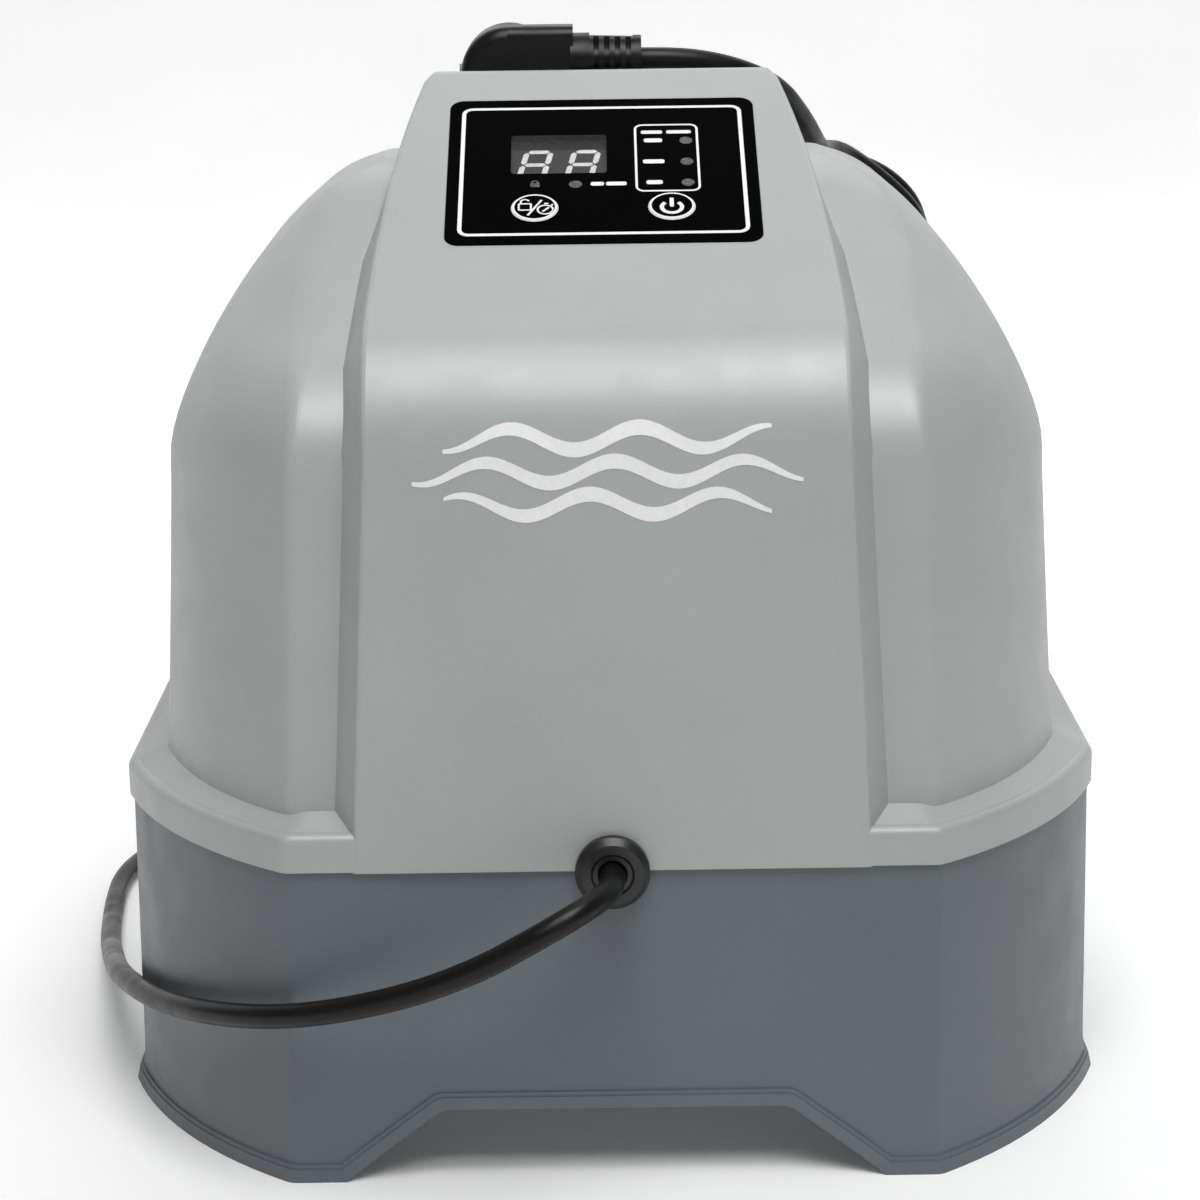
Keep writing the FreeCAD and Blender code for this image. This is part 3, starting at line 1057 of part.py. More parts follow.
def plug_shape():
    """An angled plug: a round body whose pins point to the rear, and an arm that ends in a sleeve."""
    disc = Part.makeCylinder(PLUG_RADIUS, PLUG_DEEP, Vector(PLUG_X, PLUG_FRONT, PLUG_LEVEL), Y)
    rim = [e for e in disc.Edges if e.BoundBox.YMax < PLUG_FRONT + EPS]
    disc = disc.makeFillet(5.0, rim)
    arm = Part.makeBox(SLEEVE_START + 1 - PLUG_X, 17, 26, Vector(PLUG_X, PLUG_FRONT, PLUG_LEVEL - 8.75))
    arm = arm.makeFillet(4.0, [e for e in arm.Edges if e.BoundBox.XLength > 10])
    sleeve_start, end_ring_start = (Vector(x, SLEEVE_Y, SLEEVE_LEVEL) for x in (SLEEVE_START, SLEEVE_END - 3))
    collar = Part.makeCylinder(9.6, 7, sleeve_start, X)
    sleeve = Part.makeCone(8.9, 8.2, end_ring_start.x - sleeve_start.x, sleeve_start, X)
    end_ring = Part.makeCylinder(8.6, 3, end_ring_start, X)
    gaps = []
    for i in range(4):
        spot = Vector(FIRST_GAP + 3.9 * i, SLEEVE_Y, SLEEVE_LEVEL)
        ring, core = (Part.makeCylinder(radius, GAP_WIDE, spot, X) for radius in (12, 5.6))
        ribs = Part.makeBox(GAP_WIDE, 4, 30, spot - Vector(0, 2, 15))
        gaps.append(ring.cut(core.fuse(ribs)))
    return disc.multiFuse([arm, collar, sleeve, end_ring]).cut(Part.makeCompound(gaps))


FIRST_GAP, GAP_WIDE = -2.6, 2.0
PIN_SIZE, PIN_LONG, PIN_APART = 4.8, 19.0, 19.0
node(feature("plug_body", plug_shape()))
pin_radius = PIN_SIZE / 2
plug_pin = turned("plug_pin", [(0, 0), (pin_radius, 0), (pin_radius, PIN_LONG - 2), (1.0, PIN_LONG),
                               (0, PIN_LONG)], at())
plug_back = PLUG_FRONT + PLUG_DEEP
node(copies("plug_pins", plug_pin, [at(PLUG_X, plug_back, PLUG_LEVEL + side * PIN_APART / 2, **to_rear)
                                    for side in (-1, 1)]))
clip = box("plug_clip", 1.0, 9, 6)
node(copies("plug_earth_clips", clip,
            [at(PLUG_X + side * (PLUG_RADIUS + 0.5), plug_back - 4.5, PLUG_LEVEL - 3) for side in (-1, 1)]))

# ---------------------------------------------------------------- export
doc.recompute()
for obj in doc.Objects:
    if {"Invalid", "Error"} & set(obj.State):
        raise RuntimeError(f"{obj.Name} failed: {obj.State}")
os.makedirs("parts", exist_ok=True)
for obj in NODES:
    shape = obj.Shape
    if shape.isNull() or not shape.isValid() or not shape.Solids:
        raise RuntimeError(f"{obj.Label} is not a valid solid")
    shape.exportStep(f"parts/{obj.Label}.step")
print(len(NODES), "nodes")
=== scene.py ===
"""Looks of the salt chlorine generator: a grey domed housing with a sloping control panel, a mains lead
that leaves the front, goes round the left side and lies coiled behind, and a plug behind the ridge.

Lengths are metres. HULL_MID is the hull's mid plane, as the driving dimensions of the part set it.
"""

import json
import math

import bmesh
import bpy
from mathutils import Matrix, Vector
from mathutils.bvhtree import BVHTree


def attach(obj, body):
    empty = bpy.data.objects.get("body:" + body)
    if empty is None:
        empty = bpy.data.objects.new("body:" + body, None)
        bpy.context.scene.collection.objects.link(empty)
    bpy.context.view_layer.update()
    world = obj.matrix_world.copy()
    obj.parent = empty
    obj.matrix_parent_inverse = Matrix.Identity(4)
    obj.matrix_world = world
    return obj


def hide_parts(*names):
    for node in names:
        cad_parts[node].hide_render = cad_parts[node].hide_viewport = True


MM = 0.001
HULL_MID = -31.2 * MM
HOUSING = "housing"

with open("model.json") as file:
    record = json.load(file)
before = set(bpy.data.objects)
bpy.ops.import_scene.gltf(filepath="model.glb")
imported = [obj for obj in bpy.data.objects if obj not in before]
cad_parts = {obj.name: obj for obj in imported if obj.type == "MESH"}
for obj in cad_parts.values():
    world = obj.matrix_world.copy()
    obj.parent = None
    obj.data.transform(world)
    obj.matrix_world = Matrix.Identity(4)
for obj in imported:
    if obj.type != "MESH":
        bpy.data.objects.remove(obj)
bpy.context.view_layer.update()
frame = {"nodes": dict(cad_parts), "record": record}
NODES = frame["nodes"]


def hull(x, y, z):
    """A point in millimetres from the hull's mid plane, in metres in the row frame."""
    return Vector((x * MM, y * MM + HULL_MID, z * MM))


# ---------------------------------------------------------------- camera
CAMERA_PITCH = math.radians(14.19)
CAMERA_ROLL = math.radians(0.78)
CAMERA_PLACE = Vector((-0.0029, -1.1474, 0.4400))


def make_camera():
    data = bpy.data.cameras.new("camera")
    data.sensor_width = 36.0
    data.lens = 93.0
    data.clip_start, data.clip_end = 0.05, 30.0
    forward = Vector((0, math.cos(CAMERA_PITCH), -math.sin(CAMERA_PITCH)))
    up = Vector((0, math.sin(CAMERA_PITCH), math.cos(CAMERA_PITCH)))
    right = Vector((1, 0, 0)) * math.cos(CAMERA_ROLL) - up * math.sin(CAMERA_ROLL)
    up = right.cross(forward).normalized()
    camera = bpy.data.objects.new("camera", data)
    turn = Matrix((right, up, -forward)).transposed()
    camera.matrix_world = Matrix.Translation(CAMERA_PLACE) @ turn.to_4x4()
    bpy.context.scene.collection.objects.link(camera)
    bpy.context.scene.camera = camera


# ---------------------------------------------------------------- materials
class Nodes:
    """A material's node tree with short ways to add and join nodes."""

    def __init__(self, name):
        self.material = bpy.data.materials.new(name)
        self.material.use_nodes = True
        self.tree = self.material.node_tree
        self.shader = self.tree.nodes["Principled BSDF"]
        self.place = self.add("ShaderNodeTexCoord").outputs["Object"]

    def add(self, kind, **inputs):
        item = self.tree.nodes.new(kind)
        for key, value in inputs.items():
            item.inputs[key.replace("_", " ")].default_value = value
        return item

    def join(self, source, target):
        self.tree.links.new(source, target)

    def noise(self, scale, detail=3.0, roughness=0.55, stretch=None):
        item = self.add("ShaderNodeTexNoise", Scale=scale, Detail=detail, Roughness=roughness)
        place = self.place
        if stretch:
            mapping = self.add("ShaderNodeMapping", Scale=stretch)
            self.join(place, mapping.inputs["Vector"])
            place = mapping.outputs["Vector"]
        self.join(place, item.inputs["Vector"])
        return item.outputs["Fac"]

    def ramp(self, source, low, high, start=0.0, end=1.0):
        item = self.add("ShaderNodeMapRange", From_Min=low, From_Max=high, To_Min=start, To_Max=end)
        self.join(source, item.inputs["Value"])
        return item.outputs["Result"]

    def mix(self, share, first, second, kind="MIX"):
        item = self.tree.nodes.new("ShaderNodeMix")
        item.data_type, item.blend_type = "RGBA", kind
        for key, value in (("Factor", share), (6, first), (7, second)):
            target = item.inputs[key]
            if isinstance(value, bpy.types.NodeSocket):
                self.join(value, target)
            else:
                target.default_value = value
        return item.outputs[2]

    def bump(self, sources):
        """Bumps in turn: (height socket, depth in metres) pairs."""
        normal = None
        for height, depth in sources:
            item = self.add("ShaderNodeBump", Strength=1.0, Distance=depth)
            self.join(height, item.inputs["Height"])
            if normal:
                self.join(normal, item.inputs["Normal"])
            normal = item.outputs["Normal"]
        self.join(normal, self.shader.inputs["Normal"])

    def set(self, **inputs):
        for key, value in inputs.items():
            target = self.shader.inputs[key.replace("_", " ")]
            if isinstance(value, bpy.types.NodeSocket):
                self.join(value, target)
            else:
                target.default_value = value


def grey(level, tint=(1.0, 1.0, 1.0)):
    """A linear colour from an sRGB level between 0 and 255."""
    share = level / 255
    linear = share / 12.92 if share <= 0.04045 else ((share + 0.055) / 1.055) ** 2.4
    return (linear * tint[0], linear * tint[1], linear * tint[2], 1.0)


def scaled(colour, share):
    return tuple(min(1.0, part * share) for part in colour[:3]) + (1.0,)


WAVE_DEPTH = 0.00006            # waviness of moulded faces


def moulded(name, colour, rough=0.45, grain=1500.0, grain_depth=0.00003, vary=0.05, specular=0.5):
    """Moulded plastic: a fine spark-eroded grain, a faint waviness and slight changes of tone."""
    m = Nodes(name)
    tone = m.ramp(m.noise(14.0, 4.0), 0.3, 0.7)
    fine = m.noise(grain, 2.0, 0.6)
    speck = m.ramp(m.noise(grain * 0.7, 1.0), 0.35, 0.65)
    base = m.mix(tone, scaled(colour, 1 - vary), scaled(colour, 1 + vary))
    base = m.mix(m.ramp(speck, 0, 1, 0, 0.30), base, scaled(colour, 1 + vary * 2))
    m.set(Base_Color=base, Specular_IOR_Level=specular,
          Roughness=m.ramp(m.noise(60.0, 5.0), 0.3, 0.7, rough - 0.05, rough + 0.06))
    m.bump([(m.noise(9.0, 2.0), WAVE_DEPTH), (fine, grain_depth)])
    return m.material


def glossy(name, colour, rough=0.18, dust=0.03, specular=0.5):
    """Smooth plastic with faint smears and dust."""
    m = Nodes(name)
    smear = m.ramp(m.noise(35.0, 6.0, 0.65), 0.35, 0.75)
    dusty = m.ramp(m.noise(900.0, 2.0), 0.66, 0.74)
    base = m.mix(m.ramp(dusty, 0, 1, 0, dust), colour, grey(150))
    m.set(Base_Color=base, Roughness=m.ramp(smear, 0, 1, rough, rough + 0.12),
          Specular_IOR_Level=specular)
    m.bump([(m.noise(25.0, 2.0), 0.00004), (m.noise(1200.0, 2.0), 0.000008)])
    return m.material


def jacket(name, colour, rough=0.34):
    """Cord jacket: satin rubber with scuffs and dull patches."""
    m = Nodes(name)
    scuff = m.ramp(m.noise(420.0, 4.0, 0.7), 0.55, 0.72)
    tone = m.ramp(m.noise(25.0, 3.0), 0.3, 0.7)
    base = m.mix(tone, scaled(colour, 0.8), scaled(colour, 1.3))
    base = m.mix(m.ramp(scuff, 0, 1, 0, 0.06), base, grey(80))
    m.set(Base_Color=base, Roughness=m.ramp(m.noise(80.0, 4.0), 0.3, 0.7, rough - 0.06, rough + 0.14),
          Specular_IOR_Level=0.28)
    m.bump([(m.noise(45.0, 2.0), 0.00012), (m.noise(1600.0, 2.0), 0.00002)])
    return m.material


def metal(name, colour, rough=0.3, stretch=(1.0, 1.0, 1.0)):
    """Plated or brushed metal with fine drawn scratches."""
    m = Nodes(name)
    lines = m.noise(500.0, 5.0, 0.7, stretch)
    tone = m.ramp(m.noise(90.0, 3.0), 0.3, 0.7)
    m.set(Metallic=1.0, Base_Color=m.mix(tone, scaled(colour, 0.82), scaled(colour, 1.08)),
          Roughness=m.ramp(lines, 0.3, 0.7, rough - 0.08, rough + 0.14))
    m.bump([(lines, 0.00002)])
    return m.material


def circuit_board(name):
    """Green solder mask with copper tracks under it and tinned pads."""
    m = Nodes(name)
    tracks = m.add("ShaderNodeTexBrick", Scale=160.0, Mortar_Size=0.06, Brick_Width=0.9, Row_Height=0.35)
    tracks.inputs["Color1"].default_value = grey(60, (0.25, 1.0, 0.5))
    tracks.inputs["Color2"].default_value = grey(70, (0.25, 1.0, 0.5))
    tracks.inputs["Mortar"].default_value = grey(110, (0.35, 1.0, 0.5))
    m.join(m.place, tracks.inputs["Vector"])
    pads = m.ramp(m.noise(420.0, 1.0), 0.70, 0.72)
    m.set(Base_Color=m.mix(pads, tracks.outputs["Color"], grey(200)), Roughness=0.35,
          Metallic=m.ramp(pads, 0, 1, 0.0, 0.9))
    m.bump([(tracks.outputs["Fac"], 0.00004), (m.noise(600.0, 2.0), 0.00002)])
    return m.material


def smoked_pane(name):
    """Smoked clear plastic: it dims what lies behind it and reflects the room."""
    m = Nodes(name)
    clear = m.add("ShaderNodeBsdfTransparent")
    clear.inputs["Color"].default_value = grey(225)
    film = m.ramp(m.noise(120.0, 2.0), 0.3, 0.7, 0.10, 0.13)
    m.set(Base_Color=grey(120), Roughness=m.ramp(m.noise(50.0, 3.0), 0.3, 0.7, 0.10, 0.22),
          Specular_IOR_Level=0.3)
    blend = m.add("ShaderNodeMixShader")
    m.join(film, blend.inputs[0])
    m.join(clear.outputs[0], blend.inputs[1])
    m.join(m.shader.outputs[0], blend.inputs[2])
    out = m.tree.nodes["Material Output"]
    m.join(blend.outputs[0], out.inputs["Surface"])
    m.material.surface_render_method = "BLENDED"
    return m.material


def lamp_lens(name, colour):
    """A light pipe's end: unlit, grey and ribbed."""
    m = Nodes(name)
    ribs = m.add("ShaderNodeTexVoronoi", Scale=900.0)
    m.join(m.place, ribs.inputs["Vector"])
    cells = m.ramp(ribs.outputs["Distance"], 0.0, 0.7)
    m.set(Base_Color=m.mix(cells, scaled(colour, 1.6), scaled(colour, 0.55)), Roughness=0.28, Coat_Weight=0.4)
    m.bump([(cells, 0.00012)])
    return m.material


def glowing(name, colour, strength):
    """A lit display segment, slightly uneven."""
    m = Nodes(name)
    tone = m.ramp(m.noise(700.0, 2.0), 0.3, 0.7)
    shade = m.mix(tone, scaled(colour, 0.75), colour)
    m.set(Base_Color=shade, Emission_Color=shade, Emission_Strength=strength, Roughness=0.5)
    return m.material


def printed(name, level):
    """Screen-printed white ink: a little uneven and slightly raised."""
    m = Nodes(name)
    tone = m.ramp(m.noise(500.0, 4.0, 0.7), 0.25, 0.7)
    m.set(Base_Color=m.mix(tone, grey(level - 9), grey(level)), Roughness=0.42)
    m.bump([(m.noise(1800.0, 2.0), 0.00002)])
    return m.material


def woven(name, colour):
    """Hook-and-loop strap: short crossed threads."""
    m = Nodes(name)
    warp = m.add("ShaderNodeTexWave", Scale=260.0, Distortion=2.0, Detail=2.0)
    weft = m.add("ShaderNodeTexWave", Scale=260.0, Distortion=2.0, Detail=2.0)
    weft.bands_direction = "Z"
    m.join(m.place, warp.inputs["Vector"])
    m.join(m.place, weft.inputs["Vector"])
    cross = m.mix(0.5, warp.outputs["Color"], weft.outputs["Color"], "MULTIPLY")
    m.set(Base_Color=m.mix(m.ramp(cross, 0, 1, 0.1, 0.9), scaled(colour, 0.6), scaled(colour, 2.0)),
          Roughness=0.85, Sheen_Weight=0.4)
    m.bump([(cross, 0.0002)])
    return m.material


HOOD_COLOUR = grey(165, (0.948, 1.015, 0.985))
BASE_COLOUR = grey(103, (0.87, 1.0, 1.11))


def make_materials():
    return {
        "hood_plastic": moulded("hood_plastic", HOOD_COLOUR, 0.40, 1900.0, 0.000045, specular=0.8),
        "base_plastic": moulded("base_plastic", BASE_COLOUR, 0.42, 1900.0, 0.00004),
        "overlay_black": glossy("overlay_black", grey(5), 0.24, 0.004, specular=0.003),
        "button_black": glossy("button_black", grey(5), 0.22, 0.004, specular=0.003),
        "window_smoke": smoked_pane("window_smoke"),
        "display_dark": moulded("display_dark", grey(96), 0.5, 2400.0, 0.00001),
        "lamp_plastic": lamp_lens("lamp_plastic", grey(62)),
        "black_plastic": moulded("black_plastic", grey(28), 0.34, 1500.0, 0.00003, vary=0.10),
        "cord_rubber": jacket("cord_rubber", grey(13, (0.97, 1.0, 1.08))),
        "tie_fabric": woven("tie_fabric", grey(42)),
        "zinc_steel": metal("zinc_steel", grey(205, (1.0, 1.0, 0.96)), 0.3),
        "stainless": metal("stainless", grey(200), 0.24, (1.0, 6.0, 6.0)),
        "pin_nickel": metal("pin_nickel", grey(222, (1.0, 0.98, 0.94)), 0.16, (1.0, 0.2, 1.0)),
        "board_green": circuit_board("board_green"),
        "inner_plastic": moulded("inner_plastic", grey(78), 0.5, 1300.0, 0.00004),
        "cell_plastic": glossy("cell_plastic", grey(214), 0.3, 0.08),
        "union_plastic": moulded("union_plastic", grey(62, (0.96, 1.0, 1.05)), 0.42, 1300.0, 0.00004),
        "titanium": metal("titanium", grey(150, (1.0, 0.98, 0.95)), 0.4, (0.3, 4.0, 4.0)),
        "seal_rubber": jacket("seal_rubber", grey(28), 0.5),
        "aluminium": metal("aluminium", grey(215), 0.3, (0.3, 5.0, 5.0)),
        "lamination_steel": metal("lamination_steel", grey(90), 0.45, (0.2, 30.0, 0.2)),
        "winding": glossy("winding", grey(205, (1.0, 0.80, 0.18)), 0.3),
        "relay_blue": glossy("relay_blue", grey(110, (0.45, 0.75, 1.5)), 0.25),
        "terminal_white": moulded("terminal_white", grey(222, (1.0, 1.0, 0.95)), 0.45),
        "core_insulation": glossy("core_insulation", grey(125, (1.2, 0.75, 0.45)), 0.3),
    }


def dress_nodes(materials):
    """Gives every CAD node the material of its slot."""
    for part in frame["record"]["subparts"]:
        for slot in NODES[part["node"]].material_slots:
            slot.material = materials[part["material_slot"]]


# ---------------------------------------------------------------- mesh helpers
def add_mesh(name, verts, faces, material, body):
    """A piece made of given faces, riding on a body."""
    mesh = bpy.data.meshes.new(name)
    mesh.from_pydata([tuple(v) for v in verts], [], faces)
    mesh.validate()
    build = bmesh.new()
    build.from_mesh(mesh)
    bmesh.ops.recalc_face_normals(build, faces=build.faces)
    build.to_mesh(mesh)
    build.free()
    mesh.materials.append(material)
    piece = bpy.data.objects.new(name, mesh)
    bpy.context.scene.collection.objects.link(piece)
    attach(piece, body)
    return piece


PANEL_TILT = math.radians(27.04)
PANEL_CENTRE = hull(0, -51.2, 322.65)
PANEL_UP = Vector((0, math.cos(PANEL_TILT), math.sin(PANEL_TILT)))
PANEL_OUT = Vector((0, -math.sin(PANEL_TILT), math.cos(PANEL_TILT)))


def on_panel(u, v, w):
    """A point in panel millimetres: u across, v up the slope, w out of it."""
    return PANEL_CENTRE + Vector((u * MM, 0, 0)) + PANEL_UP * (v * MM) + PANEL_OUT * (w * MM)


def rounded_rect(u, v, wide, high, radius, steps=6):
    points = []
    for quarter, (su, sv) in enumerate(((1, 1), (-1, 1), (-1, -1), (1, -1))):
        cu, cv = u + su * (wide / 2 - radius), v + sv * (high / 2 - radius)
        for i in range(steps + 1):
            angle = math.pi / 2 * (quarter + i / steps)
            points.append((cu + radius * math.cos(angle), cv + radius * math.sin(angle)))
    return points


def arc(u, v, radius, start, end, steps=40):
    spread = [math.radians(start + (end - start) * i / steps) for i in range(steps + 1)]
    return [(u + radius * math.cos(a), v + radius * math.sin(a)) for a in spread]


def stroke(points, width, closed=False):
    """The quads of a line of a given width along points."""
    count = len(points)
    sides = []
    for i in range(count):
        before = points[i - 1] if closed or i else points[i]
        after = points[(i + 1) % count] if closed or i < count - 1 else points[i]
        along = Vector((after[0] - before[0], after[1] - before[1])).normalized()
        across = Vector((-along.y, along.x)) * (width / 2)
        here = Vector(points[i])
        sides.append((here + across, here - across))
    last = count if closed else count - 1
    return [[sides[i][0], sides[(i + 1) % count][0], sides[(i + 1) % count][1], sides[i][1]]
            for i in range(last)]


INK = 0.05                      # thickness of printed lines, mm


def panel_print(name, shapes, material, low, body=HOUSING, high=INK):
    """Flat printed shapes on the panel, each a convex polygon with a little thickness."""
    verts, faces = [], []
    for shape in shapes:
        start, count = len(verts), len(shape)
        verts += [on_panel(u, v, low) for u, v in shape] + [on_panel(u, v, low + high) for u, v in shape]
        faces.append([start + i for i in range(count)][::-1])
        faces.append([start + count + i for i in range(count)])
        faces += [[start + i, start + (i + 1) % count, start + count + (i + 1) % count, start + count + i]
                  for i in range(count)]
    return add_mesh(name, verts, faces, material, body)


# ---------------------------------------------------------------- mains lead
CORD_SIZE = 8.1 * MM
# control points of the lead, in millimetres from the hull's mid plane
LEAD_ROUTE = [
    (0, -165.5, 107.5), (0, -177.5, 107.5), (-5, -189, 107), (-14.5, -197.5, 104), (-27, -200, 97.5),
    (-44, -197, 87), (-70, -187, 74), (-104, -176, 64), (-135, -150, 55.5), (-160, -110, 46),
    (-179, -60, 36), (-190, -5, 22), (-200, 50, 9), (-207, 108, 4.2), (-208, 142, 4.2), (-199, 172, 4.2),
    (-177, 193, 4.2), (-145, 199, 4.2), (-105, 190, 4.2), (-62, 188, 4.2), (-20, 193, 4.2),
    (20, 186, 4.2), (62, 190, 4.2), (92, 186, 4.2), (117.5, 182.5, 19.2), (132.5, 180, 45),
    (132, 178, 77), (129, 178, 112), (131, 179, 147), (134, 179, 182), (138, 177, 212), (137.5, 172.5, 238)]
TAIL_ROUTE = [
    (98, 134, 308), (89, 116, 311), (86, 105, 311.5), (82.5, 86, 317), (76, 67, 328.5),
    (67, 51, 340.5), (55, 40, 347.5), (41, 33, 352), (27, 30, 354), (14.85, 30, 354)]
COIL_CENTRE = Vector((90.5, 164.2, 262.5))
COIL_LEAN = math.radians(68)
COIL_RADIUS = 39.0
COIL_STEPS = 16                 # points on a whole turn
COIL_TURNS = 3
# where each turn lies in the bundle: outwards from the ring's centre line, and towards the front
STRANDS = [(4.1, -4.1), (-4.1, -4.1), (-4.1, 4.1), (4.1, 4.1)]
CROSSING = 0.20                 # share of a turn over which it moves to the next strand's place


def coil_points():
    """The turns of the coil, each beside the last, from its right side up and round."""
    points = []
    across = Vector((1, 0, 0))
    rise = Vector((0, -math.cos(COIL_LEAN), math.sin(COIL_LEAN)))
    front = across.cross(rise)
    first, last = 1, COIL_TURNS * COIL_STEPS + 2
    for i in range(first, last + 1):
        turn, share = divmod(i / COIL_STEPS, 1.0)
        turn = int(turn)
        here, after = STRANDS[turn], STRANDS[min(turn + 1, len(STRANDS) - 1)]
        slide = min(1.0, max(0.0, (share - (1 - CROSSING)) / CROSSING))
        slide = slide * slide * (3 - 2 * slide)
        out = here[0] + (after[0] - here[0]) * slide
        ahead = here[1] + (after[1] - here[1]) * slide
        angle = 2 * math.pi * share
        spoke = across * math.cos(angle) + rise * math.sin(angle)
        points.append(COIL_CENTRE + spoke * (COIL_RADIUS + out) + front * ahead)
    return points


def make_cord(material):
    """The whole lead on one smooth curve: along the base, up behind the hood, round the coil and over to
    the plug."""
    route = [Vector(p) for p in LEAD_ROUTE] + coil_points() + [Vector(p) for p in TAIL_ROUTE]
    data = bpy.data.curves.new("power_cord", "CURVE")
    data.dimensions = "3D"
    data.bevel_depth = CORD_SIZE / 2
    data.bevel_resolution = 8
    data.resolution_u = 10
    data.use_fill_caps = True
    spline = data.splines.new("NURBS")
    spline.points.add(len(route) - 1)
    for point, spot in zip(spline.points, route):
        point.co = (*hull(*spot), 1.0)
    spline.order_u = 3
    spline.use_endpoint_u = True
    data.materials.append(material)
    cord = bpy.data.objects.new("power_cord", data)
    bpy.context.scene.collection.objects.link(cord)
    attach(cord, HOUSING)
    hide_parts("cord_lead", "cord_tail", "cord_coil")


# ---------------------------------------------------------------- control panel
OVERLAY_TOP = 0.3
BUTTON_ROW = -23.6
BUTTON_FACE = 0.7
BUTTON_RIM = 1.0
BUTTON_SIZE = 16.0
BUTTON_EDGE = 7.5               # radius where the chamfer starts
BUTTON_RING = 6.85              # inner radius of the printed ring
LOCK_U, POWER_U = -23.1, 23.1
DISPLAY_FACE = -1.9
WINDOW_U, WINDOW_V = -15.0, 9.7
WINDOW_SIZE = (33.0, 24.0)


def bar(u, v, wide, high):
    return rounded_rect(u, v, wide, high, min(wide, high) * 0.35, 3)


def salt_panel():
    """The framed group of three lamps, with generic bars for their labels."""
    shapes = stroke(rounded_rect(22.2, 6.7, 21.4, 41.0, 2.6), 0.8, closed=True)
    shapes += [bar(17.2, 22.6, 7.4, 2.0), bar(26.6, 22.6, 8.6, 2.0)]
    for v, wide in ((17.4, 6.4), (4.2, 7.4), (-8.6, 5.6)):
        shapes.append(bar(17.6, v, wide, 2.4))
    return shapes


def lock_timer_icon(u, v):
    """An open padlock, a slash and a stopwatch, all in outline."""
    lock_u, lock_v, watch_u, watch_v = u - 3.3, v + 0.5, u + 3.6, v - 1.2
    shapes = stroke(rounded_rect(lock_u, lock_v, 4.1, 3.7, 0.25, 2), 0.65, closed=True)
    shackle = [(lock_u - 1.4, lock_v + 1.9)] + arc(lock_u, lock_v + 3.0, 1.4, 180, 20, 14)
    shapes += stroke(shackle, 0.65)
    shapes += stroke([(u - 2.3, v - 4.5), (u + 2.3, v + 4.5)], 0.75)
    shapes += stroke(arc(watch_u, watch_v, 2.6, 0, 360, 40)[:-1], 0.65, closed=True)
    shapes += [bar(watch_u + 0.3, watch_v + 3.6, 1.5, 0.8)]
    shapes += stroke([(watch_u + 1.9, watch_v + 2.4), (watch_u + 2.6, watch_v + 3.1)], 0.7)
    shapes += stroke([(watch_u - 0.9, watch_v - 1.1), (watch_u + 1.2, watch_v + 1.3)], 0.75)
    return shapes


def power_icon(u, v):
    """A broken ring with a stroke at its top."""
    return stroke(arc(u, v - 0.6, 3.4, 130, 410, 48), 1.4) + [bar(u, v + 2.2, 1.4, 5.4)]


DIGIT_LEAN = 0.175              # sideways shift for each millimetre up
DIGIT_PLACES = [(-23.2, 6.2), (-6.8, 6.2)]
DIGIT_SIZE = (8.26, 15.9)       # between the middles of its bars
BAR_THICK, BAR_GAP = 1.9, 0.42


def seven_segments(u, v, wide, high):
    """All seven bars of one leaning digit."""
    half, right, left = high / 2, wide / 2, -wide / 2
    spans = [((left, half), (right, half)), ((left, 0), (right, 0)), ((left, -half), (right, -half)),
             ((left, 0), (left, half)), ((right, 0), (right, half)),
             ((left, -half), (left, 0)), ((right, -half), (right, 0))]
    shapes = []
    for span in spans:
        start, end = (Vector(p) for p in span)
        along = (end - start).normalized()
        across = Vector((-along.y, along.x))
        start, end = start + along * BAR_GAP, end - along * BAR_GAP
        inner = BAR_THICK / 2
        outline = [start, start + along * inner + across * inner, end - along * inner + across * inner, end,
                   end - along * inner - across * inner, start + along * inner - across * inner]
        shapes.append([(u + p.x + p.y * DIGIT_LEAN, v + p.y) for p in outline])
    return shapes


def corner_fillers(u, v, wide, high, radius):
    """The slivers that round a sharp-cornered opening."""
    shapes = []
    for quarter, (su, sv) in enumerate(((1, 1), (-1, 1), (-1, -1), (1, -1))):
        tip = (u + su * wide / 2, v + sv * high / 2)
        cu, cv = tip[0] - su * radius, tip[1] - sv * radius
        rim = arc(cu, cv, radius, 90 * quarter, 90 * quarter + 90, 6)
        shapes += [[tip, rim[i + 1], rim[i]] for i in range(len(rim) - 1)]
    return shapes


def button_ring(name, u, material, body):
    """White ink over the rim of a button and down its chamfer."""
    section = [(BUTTON_RING, BUTTON_RIM), (BUTTON_EDGE, BUTTON_RIM), (BUTTON_SIZE / 2, BUTTON_RIM - 0.5)]
    steps = 72
    verts, faces = [], []
    for i in range(steps):
        angle = 2 * math.pi * i / steps
        for lift in (-INK, INK):
            for radius, rise in section:
                verts.append(on_panel(u + radius * math.cos(angle), BUTTON_ROW + radius * math.sin(angle),
                                      rise + lift))
    ring = len(section) * 2
    outline = [0, 1, 2, 5, 4, 3]
    for i in range(steps):
        here, after = i * ring, (i + 1) % steps * ring
        for k, first in enumerate(outline):
            second = outline[(k + 1) % len(outline)]
            faces.append([here + first, here + second, after + second, after + first])
    return add_mesh(name, verts, faces, material, body)


LOCK_LAMP = (-23.1, -8.8)
LAMP_HOLE = 2.35                # radius


def padlock(u, v):
    """A closed padlock that fills a lamp's hole."""
    shackle = [(u - 1.0, v + 0.3)] + arc(u, v + 0.8, 1.0, 180, 0, 12) + [(u + 1.0, v + 0.3)]
    return [rounded_rect(u, v - 0.7, 3.2, 2.3, 0.3, 2)] + stroke(shackle, 0.6)


